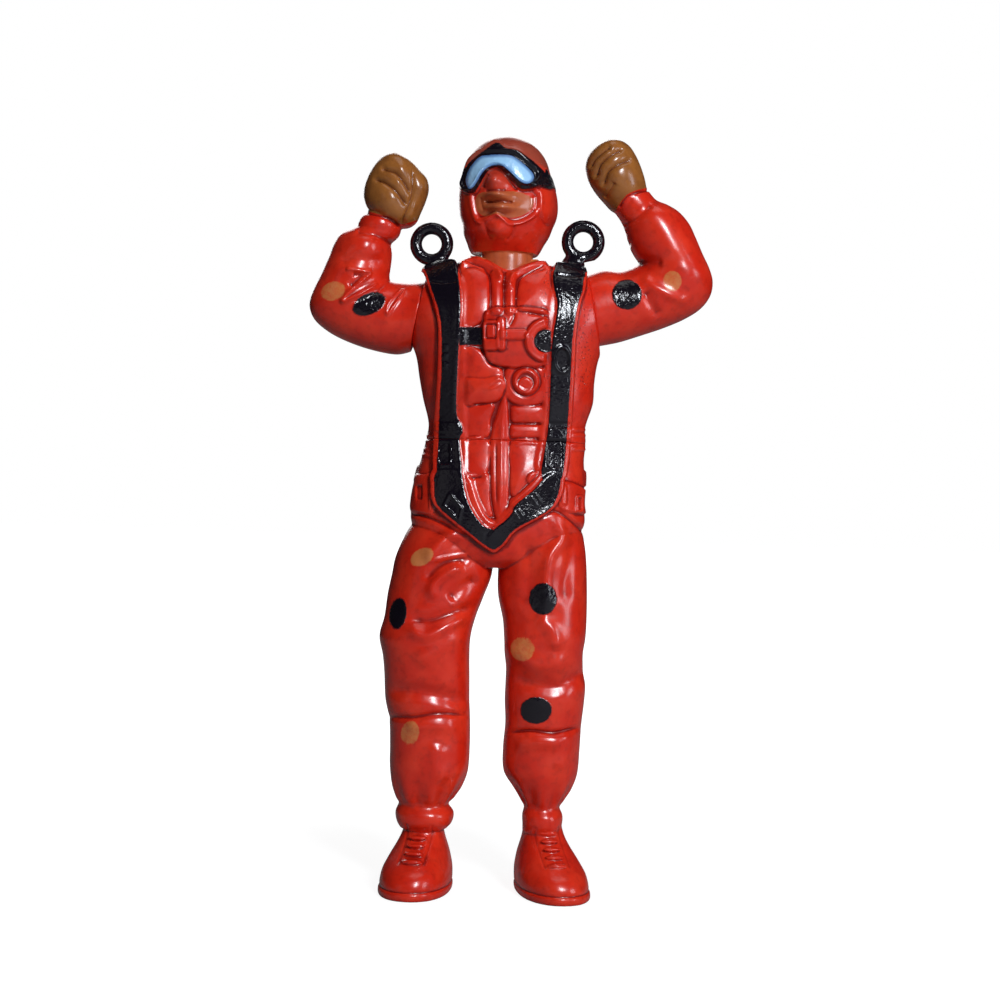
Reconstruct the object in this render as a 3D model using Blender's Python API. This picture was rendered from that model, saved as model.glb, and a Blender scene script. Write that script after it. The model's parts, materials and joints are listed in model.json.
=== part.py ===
"""Toy parachutist: a hollow vinyl figure with plug-in head and arms.

The figure stands on its soles with both fists raised to its lines. Every moulding
is a thin shell. The harness, goggles, chest pack and pockets are relief of those
mouldings. The neck and both shoulders turn on round plugs that snap behind a wall.
Sizes are in metres, +Z is up and the face looks along -Y.
"""

import math

import bmesh
import bpy
from mathutils import Matrix, Vector

# Lengths of the figure, one above the other
CROTCH_HEIGHT = 0.0597
HIP_LENGTH = 0.0232
TRUNK_LENGTH = 0.0557
SHOULDER_DROP = 0.0089
NECK_LENGTH = 0.0021
HEAD_LENGTH = 0.0220

# Heights that follow from them
WAIST_HEIGHT = CROTCH_HEIGHT + HIP_LENGTH
SHOULDER_TOP = CROTCH_HEIGHT + TRUNK_LENGTH
SHOULDER_HEIGHT = SHOULDER_TOP - SHOULDER_DROP
HOOD_BASE = SHOULDER_TOP + NECK_LENGTH
HEAD_TOP = HOOD_BASE + HEAD_LENGTH

# Trunk
TRUNK_HALF_WIDTH = 0.0160
TRUNK_HALF_DEPTH = 0.0095
SHOULDER_SPREAD = 0.0160
SHOULDER_TILT = math.radians(11.5)
SHOULDER_RISE = 0.0010
SEAM_RADIUS = 0.0066

# Legs and shoes
LEG_HALF_WIDTH = 0.0085
SHOE_LENGTH = 0.0232
SHOE_HALF_WIDTH = 0.0066
SHOE_HEIGHT = 0.0130
LEG_LENGTH = CROTCH_HEIGHT - SHOE_HEIGHT
RIGHT_TOE_OUT = math.radians(-3)
LEFT_TOE_OUT = math.radians(12)
LACE_COUNT = 5
LACE_HALF_WIDTH = 0.0022
LACE_RADIUS = 0.00045

# Head
HEAD_HALF_WIDTH = 0.0092
HEAD_TURN = math.radians(-13)

# Arms and fists
ARM_LENGTH = 0.0250
FIST_HALF_WIDTH = 0.0058
FINGER_COUNT = 4
FINGER_START = math.radians(-15)
FINGER_END = math.radians(150)

# Walls, plugs and clearances
WALL = 0.0016
HEAD_WALL = 0.0032
SPIGOT_WALL = 0.0013
SHOULDER_PLUG_WALL = 0.0008
COLLAR_ROOT_WALL = 0.0035
COLLAR_TOP_WALL = 0.0022
GAP = 0.0003
NECK_RADIUS = 0.0048
NECK_FLANGE_RADIUS = 0.0056
NECK_SEAT_THICKNESS = 0.0036
SHOULDER_PLUG_RADIUS = 0.0032
SHOULDER_FLANGE_RADIUS = 0.0043
FLANGE_THICKNESS = 0.0012
SPIGOT_LENGTH = 0.0035
OVERRUN = 0.0020
CUTTER_REACH = 0.0320
WELD = 0.000001

# Line rings on the shoulders
RING_SPREAD = 0.01395
RING_LIFT = 0.0041
RING_RISE = 0.0006
RING_FORWARD = 0.0012
RING_RADIUS = 0.0029
RING_WIRE_RADIUS = 0.00112

# Tab under a ring, in shares of the ring: drop, shift inwards, half-width and half-depth
RING_TAB_SHARES = (
    (2.60, 0.86, 1.02, 1.30),
    (1.90, 0.70, 1.00, 1.00),
    (1.35, 0.52, 0.94, 0.75),
    (0.85, 0.30, 0.80, 0.36),
)

# Relief
RELIEF_SINK = 0.0012
STRAP_HALF_WIDTH = 0.0017
STRAP_RAISE = 0.00085
PAD_RAISE = 0.0006
FLAP_RAISE = 0.0004
BUCKLE_RAISE = 0.0015
BUCKLE_BAR = 0.00045
BUCKLE_CORNER = 0.0007
PACK_RAISE = 0.0011
LAPEL_RAISE = 0.0008

# Numbers of facets and of section rows
CHEST_ROWS = 17
HIP_ROWS = 11
LEG_ROWS = 22
HEAD_ROWS = 19
SPIGOT_ROWS = 5
PAD_ROWS = 4
ROLL_ROWS = 3
BALL_SEGMENTS = 10
LACE_SEGMENTS = 6
FINGER_STEPS = 6
FINGER_SEGMENTS = 8
PATH_STEPS = 2
KEPT_FACE_SHARE = 0.72
TRUNK_SEGMENTS = 30
LEG_SEGMENTS = 18
ARM_SEGMENTS = 16
HEAD_SEGMENTS = 26
ROUND_SEGMENTS = 20
RING_STEPS = 18
RING_WIRE_STEPS = 7

# Angle from which an edge counts as sharp
SHARP_ANGLE = math.radians(40)

# Exponents of the oval sections
TRUNK_SQUARENESS = 2.5
LEG_SQUARENESS = 2.2
HEAD_SQUARENESS = 2.15

# Height above the crotch in shares of the trunk, then centre, half-width, front and back
TRUNK_SECTION_SHARES = (
    (0.00, -0.04, 0.45, 0.55, 0.55),
    (0.03, -0.03, 0.66, 0.80, 0.82),
    (0.08, -0.03, 0.88, 0.92, 1.00),
    (0.15, -0.02, 1.00, 0.98, 1.12),
    (0.22, -0.03, 0.99, 0.98, 1.12),
    (0.30, 0.00, 0.97, 0.96, 1.00),
    (0.36, 0.02, 0.935, 0.91, 0.90),
    (0.42, 0.05, 0.92, 0.88, 0.86),
    (0.47, 0.055, 0.905, 0.89, 0.87),
    (0.55, 0.06, 0.98, 0.95, 0.94),
    (0.62, 0.04, 1.01, 1.00, 1.00),
    (0.69, 0.035, 1.05, 1.05, 1.05),
    (0.75, 0.03, 1.13, 1.08, 1.08),
    (0.83, 0.03, 1.25, 1.06, 1.07),
    (0.90, 0.03, 1.23, 0.96, 0.98),
    (0.945, 0.02, 1.10, 0.84, 0.86),
    (0.975, 0.01, 0.92, 0.74, 0.76),
    (0.99, 0.00, 0.76, 0.68, 0.69),
    (1.00, 0.00, 0.60, 0.60, 0.60),
)

# Height above the shoe in shares of the leg, then centre, half-width, half-depth and set-back
RIGHT_LEG_SECTION_SHARES = (
    (-0.042, -0.78, 0.50, 0.50, 0.10),
    (-0.016, -0.77, 0.62, 0.64, 0.10),
    (0.022, -0.77, 0.65, 0.66, 0.10),
    (0.057, -0.785, 0.56, 0.57, 0.10),
    (0.086, -0.775, 0.64, 0.66, 0.10),
    (0.131, -0.755, 0.76, 0.78, 0.10),
    (0.195, -0.735, 0.85, 0.86, 0.10),
    (0.284, -0.73, 0.87, 0.88, 0.10),
    (0.386, -0.74, 0.88, 0.86, 0.06),
    (0.476, -0.775, 0.92, 0.88, 0.02),
    (0.565, -0.785, 0.925, 0.89, -0.04),
    (0.642, -0.80, 0.94, 0.92, -0.08),
    (0.719, -0.82, 0.985, 0.93, -0.10),
    (0.795, -0.77, 0.985, 0.95, -0.06),
    (0.885, -0.71, 1.045, 0.99, 0.00),
    (0.962, -0.65, 1.08, 1.02, 0.02),
    (1.026, -0.625, 1.065, 1.03, 0.03),
    (1.089, -0.60, 0.98, 0.98, 0.03),
    (1.153, -0.575, 0.84, 0.86, 0.03),
    (1.217, -0.55, 0.60, 0.65, 0.03),
)
LEFT_LEG_SECTION_SHARES = (
    (-0.042, 0.58, 0.40, 0.46, 0.10),
    (-0.016, 0.585, 0.45, 0.56, 0.10),
    (0.022, 0.585, 0.46, 0.58, 0.10),
    (0.057, 0.575, 0.40, 0.50, 0.10),
    (0.086, 0.58, 0.46, 0.58, 0.10),
    (0.131, 0.585, 0.62, 0.70, 0.10),
    (0.195, 0.56, 0.80, 0.82, 0.10),
    (0.284, 0.56, 0.835, 0.85, 0.10),
    (0.386, 0.575, 0.83, 0.85, 0.08),
    (0.476, 0.58, 0.865, 0.86, 0.04),
    (0.546, 0.585, 0.87, 0.86, 0.00),
    (0.604, 0.57, 0.84, 0.86, -0.04),
    (0.668, 0.555, 0.85, 0.90, -0.09),
    (0.732, 0.56, 0.885, 0.92, -0.10),
    (0.795, 0.555, 0.91, 0.94, -0.06),
    (0.885, 0.525, 0.965, 0.98, 0.00),
    (0.962, 0.515, 0.97, 1.00, 0.02),
    (1.026, 0.515, 0.95, 1.01, 0.03),
    (1.089, 0.52, 0.90, 0.96, 0.03),
    (1.153, 0.53, 0.80, 0.86, 0.03),
    (1.217, 0.545, 0.62, 0.68, 0.03),
)

# Height in shares of the shoe, then half-width, heel and toe reach in shares of its length
SHOE_SECTION_SHARES = (
    (0.000, 0.93, 0.375, 0.585),
    (0.030, 0.985, 0.390, 0.603),
    (0.100, 1.00, 0.395, 0.607),
    (0.118, 0.955, 0.380, 0.590),
    (0.145, 0.95, 0.378, 0.590),
    (0.24, 0.955, 0.370, 0.580),
    (0.34, 0.93, 0.360, 0.545),
    (0.44, 0.86, 0.350, 0.470),
    (0.54, 0.78, 0.325, 0.370),
    (0.64, 0.69, 0.290, 0.280),
    (0.76, 0.60, 0.235, 0.195),
    (0.88, 0.545, 0.200, 0.160),
    (1.00, 0.53, 0.190, 0.150),
)

# Ends of the row of lace bars, forward and up in shares of the shoe
LACE_TOP_SHARES = (0.155, 0.86)
LACE_BOTTOM_SHARES = (0.42, 0.50)

# Height from which the legs are hollow, as the leg sections are measured
LEG_HOLLOW_SHARE = 0.195

# Height above the hood's base in shares of the head, then half-width, front and back
HEAD_SECTION_SHARES = (
    (0.000, 0.64, 0.55, 0.78),
    (0.035, 0.70, 0.66, 0.86),
    (0.09, 0.765, 0.82, 0.92),
    (0.16, 0.845, 0.97, 0.98),
    (0.24, 0.895, 1.04, 1.04),
    (0.33, 0.965, 1.07, 1.12),
    (0.43, 1.00, 1.07, 1.18),
    (0.53, 1.00, 1.06, 1.20),
    (0.62, 0.93, 1.04, 1.16),
    (0.71, 0.86, 0.99, 1.08),
    (0.79, 0.785, 0.90, 0.97),
    (0.86, 0.69, 0.77, 0.82),
    (0.92, 0.55, 0.61, 0.64),
    (0.965, 0.37, 0.41, 0.42),
    (0.99, 0.20, 0.22, 0.22),
    (1.00, 0.10, 0.11, 0.11),
)

# Along each arm: out and up from the shoulder and forward in shares of its length, then
# thickness in the plane and depth in shares of the seam's radius
RIGHT_ARM_SECTION_SHARES = (
    (0.000, 0.000, 0.000, 1.000, 1.000),
    (0.155, 0.035, 0.000, 1.045, 1.000),
    (0.315, 0.045, 0.000, 1.083, 0.992),
    (0.465, 0.100, 0.010, 1.205, 0.970),
    (0.515, 0.265, 0.020, 1.182, 0.955),
    (0.460, 0.415, 0.035, 0.962, 0.909),
    (0.430, 0.545, 0.050, 0.886, 0.856),
    (0.370, 0.600, 0.055, 0.636, 0.682),
    (0.335, 0.650, 0.060, 0.485, 0.515),
    (0.300, 0.722, 0.065, 0.508, 0.530),
    (0.275, 0.800, 0.070, 0.568, 0.568),
)
LEFT_ARM_SECTION_SHARES = (
    (0.000, 0.000, 0.000, 1.000, 1.000),
    (0.150, 0.045, 0.000, 1.015, 0.992),
    (0.310, 0.105, 0.000, 0.992, 0.970),
    (0.480, 0.165, 0.010, 1.015, 0.955),
    (0.575, 0.290, 0.020, 1.129, 0.947),
    (0.520, 0.445, 0.035, 1.015, 0.909),
    (0.455, 0.605, 0.050, 0.879, 0.856),
    (0.355, 0.740, 0.055, 0.682, 0.689),
    (0.290, 0.800, 0.060, 0.485, 0.515),
    (0.225, 0.860, 0.065, 0.508, 0.530),
    (0.175, 0.925, 0.070, 0.568, 0.568),
)

# Girth of an arm's hollow in shares of the arm's own
ARM_HOLLOW_SHARE = 0.56

# Fist centres from the shoulder, and the slope of their finger grooves
RIGHT_FIST_SHARES = (0.215, 0.985, 0.075)
LEFT_FIST_SHARES = (0.130, 1.035, 0.075)
RIGHT_FIST_LEAN = math.radians(-24)
LEFT_FIST_LEAN = math.radians(-22)

# Sizes and places inside a fist, in shares of its half-width
PALM_SIZE_SHARES = (0.92, 0.84, 1.08)
THUMB_SIZE_SHARES = (0.36, 0.52, 0.74)
THUMB_PLACE_SHARES = (-0.70, -0.50, 0.12)
FINGER_PITCH_SHARE = 0.47
FINGER_THICKNESS_SHARE = 0.33
FINGER_END_SHARE = 0.80
FINGER_BEND_SHARE = 0.66

# Harness lines on the front: across in trunk half-widths, up in shares of the trunk
RIGHT_STRAP_SHARES = (
    (-0.82, 1.00), (-0.73, 0.958), (-0.65, 0.871), (-0.62, 0.788), (-0.61, 0.688),
    (-0.62, 0.604), (-0.63, 0.517), (-0.62, 0.42), (-0.63, 0.37), (-0.62, 0.299),
)
LEFT_STRAP_SHARES = (
    (0.81, 1.00), (0.72, 0.975), (0.72, 0.876), (0.67, 0.765), (0.66, 0.698),
    (0.66, 0.615), (0.65, 0.528), (0.61, 0.45), (0.59, 0.38), (0.59, 0.305),
)
RIGHT_LEG_STRAP_SHARES = (
    (-0.64, 0.31), (-0.57, 0.255), (-0.42, 0.190), (-0.24, 0.13), (-0.07, 0.085),
)
LEFT_LEG_STRAP_SHARES = (
    (0.62, 0.32), (0.55, 0.250), (0.35, 0.185), (0.14, 0.135), (-0.10, 0.085),
)
BACK_STRAP_SHARES = (
    (0.80, 0.985), (0.66, 0.93), (0.52, 0.82), (0.46, 0.70), (0.46, 0.58),
    (0.52, 0.47), (0.56, 0.38), (0.58, 0.30),
)
BACK_LEG_STRAP_SHARES = (
    (0.56, 0.38), (0.60, 0.29), (0.52, 0.20), (0.32, 0.12), (0.05, 0.06),
)
BACK_BELT_SHARES = ((-0.74, 0.31), (-0.35, 0.325), (0.0, 0.33), (0.35, 0.325), (0.74, 0.31))

# Widening of the harness over the shoulders, and the height where it starts
STRAP_FLARE_SHARE = 0.75
FLARE_START_SHARE = 0.88

# Pads on the front: left, right, bottom and top, as the harness lines are measured
CHEST_PANEL_SHARES = (-0.54, -0.20, 0.81, 0.985)
LEFT_CHEST_PANEL_SHARES = (0.16, 0.55, 0.875, 0.985)
POCKET_SHARES = (-0.49, -0.02, 0.575, 0.725)
POCKET_FOLD_SHARES = (-0.47, -0.06, 0.455, 0.565)
PACK_SHARES = (-0.24, 0.58, 0.675, 0.862)
KNOB_BASE_SHARES = (0.10, 0.47, 0.565, 0.655)
ROLL_SHARES = ((0.11, 0.45, 0.505, 0.548), (0.11, 0.45, 0.447, 0.492))
LOWER_ZIP_SHARES = (-0.10, 0.08, 0.19, 0.415)
HIP_POUCH_SHARES = ((-0.97, -0.76, 0.205, 0.292), (0.72, 0.94, 0.205, 0.286))
ZIP_FLAP_SHARES = ((-0.15, -0.03, 0.865, 0.985), (0.01, 0.12, 0.865, 0.985))
BUCKLE_FRAME_SHARES = (-0.245, -0.02, 0.728, 0.832)
STRAP_BUCKLE_SHARES = ((-0.69, -0.55, 0.334, 0.410), (0.50, 0.66, 0.325, 0.405))
KNOB_PLACE_SHARES = (0.26, 0.611)
KNOB_OUTER_SHARE = 0.145
KNOB_WIRE_SHARE = 0.037

# Point of the neck opening, in shares of the trunk
THROAT_SHARE = 0.975

# Lapels beside the neck opening, and the yoke that forks from the chest pack
RIGHT_LAPEL_SHARES = ((-0.46, 1.000), (-0.37, 0.975), (-0.27, 0.958), (-0.19, 0.945))
LEFT_LAPEL_SHARES = ((0.46, 1.000), (0.36, 0.982), (0.24, 0.970), (0.11, 0.957))
UPPER_YOKE_SHARES = ((-0.02, 0.781), (0.18, 0.782), (0.33, 0.82), (0.56, 0.838))
LOWER_YOKE_SHARES = ((0.18, 0.778), (0.33, 0.735), (0.56, 0.70))
CHEST_STRAP_SHARES = ((-0.58, 0.770), (-0.40, 0.771), (-0.22, 0.771))

# Face, in head half-widths across and shares of the head up
GOGGLE_TOP_SHARES = (
    (-0.86, 0.60), (-0.78, 0.72), (-0.55, 0.845), (-0.20, 0.905), (0.20, 0.905),
    (0.55, 0.835), (0.78, 0.72), (0.86, 0.61),
)
GOGGLE_BOTTOM_SHARES = (
    (-0.86, 0.50), (-0.70, 0.50), (-0.42, 0.555), (-0.15, 0.655), (0.15, 0.655),
    (0.42, 0.555), (0.70, 0.51), (0.86, 0.53),
)
GOGGLE_SPAN_SHARES = (0.0, 0.15, 0.5, 0.85, 1.0)
LENS_INSET_SHARE = 0.13
GOGGLE_RAISE = 0.0010
GOGGLE_STRAP_SHARES = (0.53, 0.63)
NOSE_PLACE_SHARES = (0.0, 0.56)
NOSE_SIZE = (0.00135, 0.0016, 0.0022)
LIP_SIZE = (0.0027, 0.0017, 0.0010)
LIP_PLACE_SHARES = (0.455, 0.385)
CHIN_SIZE = (0.0030, 0.0013, 0.0022)
CHIN_PLACE_SHARE = 0.22
CHEEK_SIZE = (0.0016, 0.0052, 0.0040)
CHEEK_PLACE_SHARES = (0.87, 0.42)
FACE_RECESS = 0.0006
FACE_OPENING_SHARES = (
    (-0.44, 0.30), (0.44, 0.30), (0.50, 0.40), (0.46, 0.60), (-0.46, 0.60), (-0.50, 0.40),
)

# Finishes
RED = (0.60, 0.018, 0.010, 1.0)
VINYL_ROUGHNESS = 0.38


# Scene and objects
def clear_scene():
    for thing in list(bpy.data.objects):
        bpy.data.objects.remove(thing, do_unlink=True)


def new_collection(name):
    collection = bpy.data.collections.new(name)
    bpy.context.scene.collection.children.link(collection)
    return collection


def face_outwards(shape):
    """Turn a closed shape's faces outwards, going by the sign of its volume."""
    bmesh.ops.recalc_face_normals(shape, faces=shape.faces)
    if shape.calc_volume(signed=True) < 0:
        bmesh.ops.reverse_faces(shape, faces=shape.faces)


def mesh_object(name, shape, collection):
    face_outwards(shape)
    mesh = bpy.data.meshes.new(name)
    shape.to_mesh(mesh)
    shape.free()
    thing = bpy.data.objects.new(name, mesh)
    collection.objects.link(thing)
    return thing


def combine(target, shapes, operation):
    """Apply a Boolean of each shape in turn to the target."""
    for shape in shapes:
        face_outwards(shape)
        mesh = bpy.data.meshes.new("tool")
        shape.to_mesh(mesh)
        shape.free()
        tool = bpy.data.objects.new("tool", mesh)
        bpy.context.scene.collection.objects.link(tool)
        modifier = target.modifiers.new(operation.lower(), "BOOLEAN")
        modifier.operation = operation
        modifier.solver = "MANIFOLD"
        modifier.object = tool
        bake(target, modifier)
        bpy.data.objects.remove(tool, do_unlink=True)


def vinyl(name):
    material = bpy.data.materials.new(name)
    material.use_nodes = True
    shader = material.node_tree.nodes["Principled BSDF"]
    shader.inputs["Base Color"].default_value = RED
    shader.inputs["Roughness"].default_value = VINYL_ROUGHNESS
    shader.inputs["Metallic"].default_value = 0.0
    material.diffuse_color = RED
    return material


def bake(thing, modifier):
    """Replace an object's mesh by its evaluated one and drop the modifier."""
    bpy.context.view_layer.update()
    seen = thing.evaluated_get(bpy.context.evaluated_depsgraph_get())
    old = thing.data
    thing.data = bpy.data.meshes.new_from_object(seen)
    thing.modifiers.remove(modifier)
    bpy.data.meshes.remove(old)


def drop_folded_faces(shape):
    """Remove pairs of facets that lie back to back on the same three corners."""
    seen = {}
    for face in shape.faces:
        seen.setdefault(frozenset(face.verts), []).append(face)
    folded = [face for pair in seen.values() if len(pair) > 1 for face in pair]
    bmesh.ops.delete(shape, geom=folded, context="FACES")


def finish(thing, pivot, turn=Matrix.Identity(4)):
    """Clear the slivers that cuts leave, shade and colour, and set the joint's origin."""
    shape = bmesh.new()
    shape.from_mesh(thing.data)
    bmesh.ops.remove_doubles(shape, verts=shape.verts, dist=WELD)
    bmesh.ops.triangulate(shape, faces=shape.faces)
    drop_folded_faces(shape)
    shape.transform(Matrix.Translation(-Vector(pivot)))
    shape.to_mesh(thing.data)
    shape.free()
    modifier = thing.modifiers.new("slivers", "DECIMATE")
    modifier.ratio = KEPT_FACE_SHARE
    bake(thing, modifier)
    thing.data.shade_smooth()
    thing.data.set_sharp_from_angle(angle=SHARP_ANGLE)
    thing.data.materials.clear()
    thing.data.materials.append(vinyl(thing.name + "_vinyl"))
    thing.matrix_world = Matrix.Translation(Vector(pivot)) @ turn


# Curves through tables
def read_table(table, place):
    """Read a table at a place of its first column along a smooth curve."""
    last = len(table) - 1
    place = min(max(place, table[0][0]), table[last][0])
    row = 0
    while row < last - 1 and table[row + 1][0] < place:
        row += 1
    before, start, end, after = (table[max(row - 1, 0)], table[row], table[row + 1],
                                 table[min(row + 2, last)])
    span = end[0] - start[0]
    part = (place - start[0]) / span
    values = []
    for column in range(1, len(start)):
        rise_in = (end[column] - before[column]) / (end[0] - before[0]) * span
        rise_out = (after[column] - start[column]) / (after[0] - start[0]) * span
        values.append(hermite(start[column], end[column], rise_in, rise_out, part))
    return values


def hermite(start, end, rise_in, rise_out, part):
    square, cube = part * part, part * part * part
    return ((2 * cube - 3 * square + 1) * start + (cube - 2 * square + part) * rise_in
            + (3 * square - 2 * cube) * end + (cube - square) * rise_out)


def smooth_path(points, steps):
    """Points along a smooth curve through the given ones, with steps to a span."""
    path = []
    last = len(points) - 1
    for index in range(last):
        before, start = points[max(index - 1, 0)], points[index]
        end, after = points[index + 1], points[min(index + 2, last)]
        for step in range(steps):
            part = step / steps
            path.append(tuple(
                hermite(b, c, (c - a) / 2, (d - b) / 2, part)
                for a, b, c, d in zip(before, start, end, after)))
    path.append(tuple(points[last]))
    return path


# Lofts through oval sections
def oval(angle, squareness):
    """Point on a unit superellipse."""
    across, along = math.cos(angle), math.sin(angle)
    power = 2 / squareness
    return (math.copysign(abs(across) ** power, across),
            math.copysign(abs(along) ** power, along))


def loft(rings):
    """Closed body through rings of equal counts, with a flat cap at each end."""
    shape = bmesh.new()
    rows = [[shape.verts.new(point) for point in ring] for ring in rings]
    count = len(rows[0])
    for lower, upper in zip(rows, rows[1:]):
        for index in range(count):
            following = (index + 1) % count
            shape.faces.new((lower[index], lower[following], upper[following], upper[index]))
    shape.faces.new(reversed(rows[0]))
    shape.faces.new(rows[-1])
    return shape


def level_ring(height, centre, half_width, front, back, squareness, segments):
    """Horizontal oval whose front and back reach differ."""
    ring = []
    for index in range(segments):
        across, along = oval(2 * math.pi * (index + 0.5) / segments, squareness)
        reach = back if along > 0 else front
        ring.append((centre[0] + half_width * across, centre[1] + reach * along, height))
    return ring


def spread(low, high, count):
    return [low + (high - low) * index / (count - 1) for index in range(count)]


# Trunk surface, shared by the chest, the hips and all relief on them
def trunk_section(height):
    centre, half_width, front, back = read_table(
        TRUNK_SECTION_SHARES, (height - CROTCH_HEIGHT) / TRUNK_LENGTH)
    return (centre * TRUNK_HALF_WIDTH, half_width * TRUNK_HALF_WIDTH,
            front * TRUNK_HALF_DEPTH, back * TRUNK_HALF_DEPTH)


def trunk_loft(low, high, rows, inset):
    rings = []
    for height in spread(low, high, rows):
        centre, half_width, front, back = trunk_section(height)
        if inset:
            above = trunk_section(height + inset)
            half_width = min(half_width, above[1])
            front = min(front, above[2])
            back = min(back, above[3])
        rings.append(level_ring(height, (centre, 0), half_width - inset, front - inset,
                                back - inset, TRUNK_SQUARENESS, TRUNK_SEGMENTS))
    return loft(rings)


def oval_reach(offset, half_width, reach, squareness):
    """How far an oval reaches at an offset from its centre, or None outside it."""
    share = abs(offset / half_width)
    if share >= 1:
        return None
    return reach * (1 - share ** squareness) ** (1 / squareness)


def trunk_front(x, z):
    centre, half_width, front, back = trunk_section(z)
    reach = oval_reach(x - centre, half_width, front, TRUNK_SQUARENESS)
    return 0 if reach is None else -reach


def trunk_back(x, z):
    centre, half_width, front, back = trunk_section(z)
    reach = oval_reach(x - centre, half_width, back, TRUNK_SQUARENESS)
    return 0 if reach is None else reach


# Legs
def leg_section(table, height):
    centre, half_width, half_depth, set_back = read_table(
        table, (height - SHOE_HEIGHT) / LEG_LENGTH)
    return (centre * TRUNK_HALF_WIDTH, set_back * LEG_HALF_WIDTH,
            half_width * LEG_HALF_WIDTH, half_depth * LEG_HALF_WIDTH)


def leg_loft(table, low_share, rows, inset):
    rings = []
    for share in spread(low_share, table[-1][0], rows):
        height = SHOE_HEIGHT + share * LEG_LENGTH
        x, y, half_width, half_depth = leg_section(table, height)
        rings.append(level_ring(height, (x, y), half_width - inset, half_depth - inset,
                                half_depth - inset, LEG_SQUARENESS, LEG_SEGMENTS))
    return loft(rings)


def leg_front(table, x, z):
    centre, y, half_width, half_depth = leg_section(table, z)
    reach = oval_reach(x - centre, half_width, half_depth, LEG_SQUARENESS)
    return 0 if reach is None else y - reach


def leg_back(table, x, z):
    centre, y, half_width, half_depth = leg_section(table, z)
    reach = oval_reach(x - centre, half_width, half_depth, LEG_SQUARENESS)
    return 0 if reach is None else y + reach


def body_front(x, z):
    """Front of the trunk, or of a leg where it stands further forward."""
    return min(trunk_front(x, z), leg_front(RIGHT_LEG_SECTION_SHARES, x, z),
               leg_front(LEFT_LEG_SECTION_SHARES, x, z))


def body_back(x, z):
    return max(trunk_back(x, z), leg_back(RIGHT_LEG_SECTION_SHARES, x, z),
               leg_back(LEFT_LEG_SECTION_SHARES, x, z))


# Relief that follows a surface
def place_on_trunk(shares):
    return (shares[0] * TRUNK_HALF_WIDTH, CROTCH_HEIGHT + shares[1] * TRUNK_LENGTH)


def ribbon(surface, points, half_width, rise, facing=-1, columns=2, closed=False, widen=None):
    """Raised band along a line on a surface, with its edges eased and its root sunk."""
    widen = widen or [1] * len(points)
    edge = min(half_width, rise)
    inner = spread(-half_width + edge / 2, half_width - edge / 2, columns)
    profile = [(-half_width, -RELIEF_SINK), (-half_width, rise / 2)]
    profile += [(across, rise) for across in inner]
    profile += [(half_width, rise / 2), (half_width, -RELIEF_SINK)]
    last = len(points) - 1
    rings = []
    for index, (x, z) in enumerate(points):
        before = points[index - 1] if index or closed else points[0]
        after = points[(index + 1) % len(points)] if index < last or closed else points[last]
        along = Vector((after[0] - before[0], after[1] - before[1])).normalized()
        side = Vector((along.y, -along.x))
        ends = 0 if closed or 0 < index < last else rise / 2
        ring = []
        for across, lift in profile:
            px = x + side.x * across * widen[index]
            pz = z + side.y * across * widen[index]
            height = lift - ends if lift == rise else lift
            ring.append((px, surface(px, pz) + facing * height, pz))
        rings.append(ring)
    if not closed:
        return loft(rings)
    shape = bmesh.new()
    rows = [[shape.verts.new(point) for point in ring] for ring in rings]
    for lower, upper in zip(rows, rows[1:] + rows[:1]):
        for index in range(len(profile)):
            following = (index + 1) % len(profile)
            shape.faces.new((lower[index], lower[following], upper[following], upper[index]))
    return shape


def strap(surface, shares, half_width, rise, facing=-1, flare=0):
    """Band through points of the trunk that may widen towards the shoulder."""
    path = smooth_path(shares, PATH_STEPS)
    widen = [1 + flare * max(0, up - FLARE_START_SHARE) / (1 - FLARE_START_SHARE)
             for across, up in path]
    return ribbon(surface, [place_on_trunk(point) for point in path], half_width, rise, facing,
                  widen=widen)


def pad(surface, box_shares, rise, rows=PAD_ROWS, facing=-1):
    """Upright pad between left, right, bottom and top, set in shares of the trunk."""
    left, bottom = place_on_trunk((box_shares[0], box_shares[2]))
    right, top = place_on_trunk((box_shares[1], box_shares[3]))
    middle = (left + right) / 2
    ease = min(rise, (top - bottom) / 4)
    heights = [top] + spread(top - ease, bottom + ease, rows) + [bottom]
    return ribbon(surface, [(middle, height) for height in heights],
                  (right - left) / 2, rise, facing, columns=3)


def frame(surface, box_shares, bar, rise, facing=-1):
    """Rectangular buckle frame on a surface."""
    left, bottom = place_on_trunk((box_shares[0], box_shares[2]))
    right, top = place_on_trunk((box_shares[1], box_shares[3]))
    corner = BUCKLE_CORNER
    left, right, bottom, top = left + bar, right - bar, bottom + bar, top - bar
    points = [(left, bottom + corner), (left, top - corner), (left + corner, top),
              (right - corner, top), (right, top - corner), (right, bottom + corner),
              (right - corner, bottom), (left + corner, bottom)]
    return ribbon(surface, points, bar, rise, facing, closed=True)


# Round pieces
def disc(radius_low, radius_high, start, end):
    """Cone or cylinder between two points."""
    start, end = Vector(start), Vector(end)
    axis = end - start
    turn = axis.to_track_quat("Z", "Y").to_matrix().to_4x4()
    shape = bmesh.new()
    bmesh.ops.create_cone(shape, cap_ends=True, segments=ROUND_SEGMENTS, radius1=radius_low,
                          radius2=radius_high, depth=axis.length,
                          matrix=Matrix.Translation((start + end) / 2) @ turn)
    return shape


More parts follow.
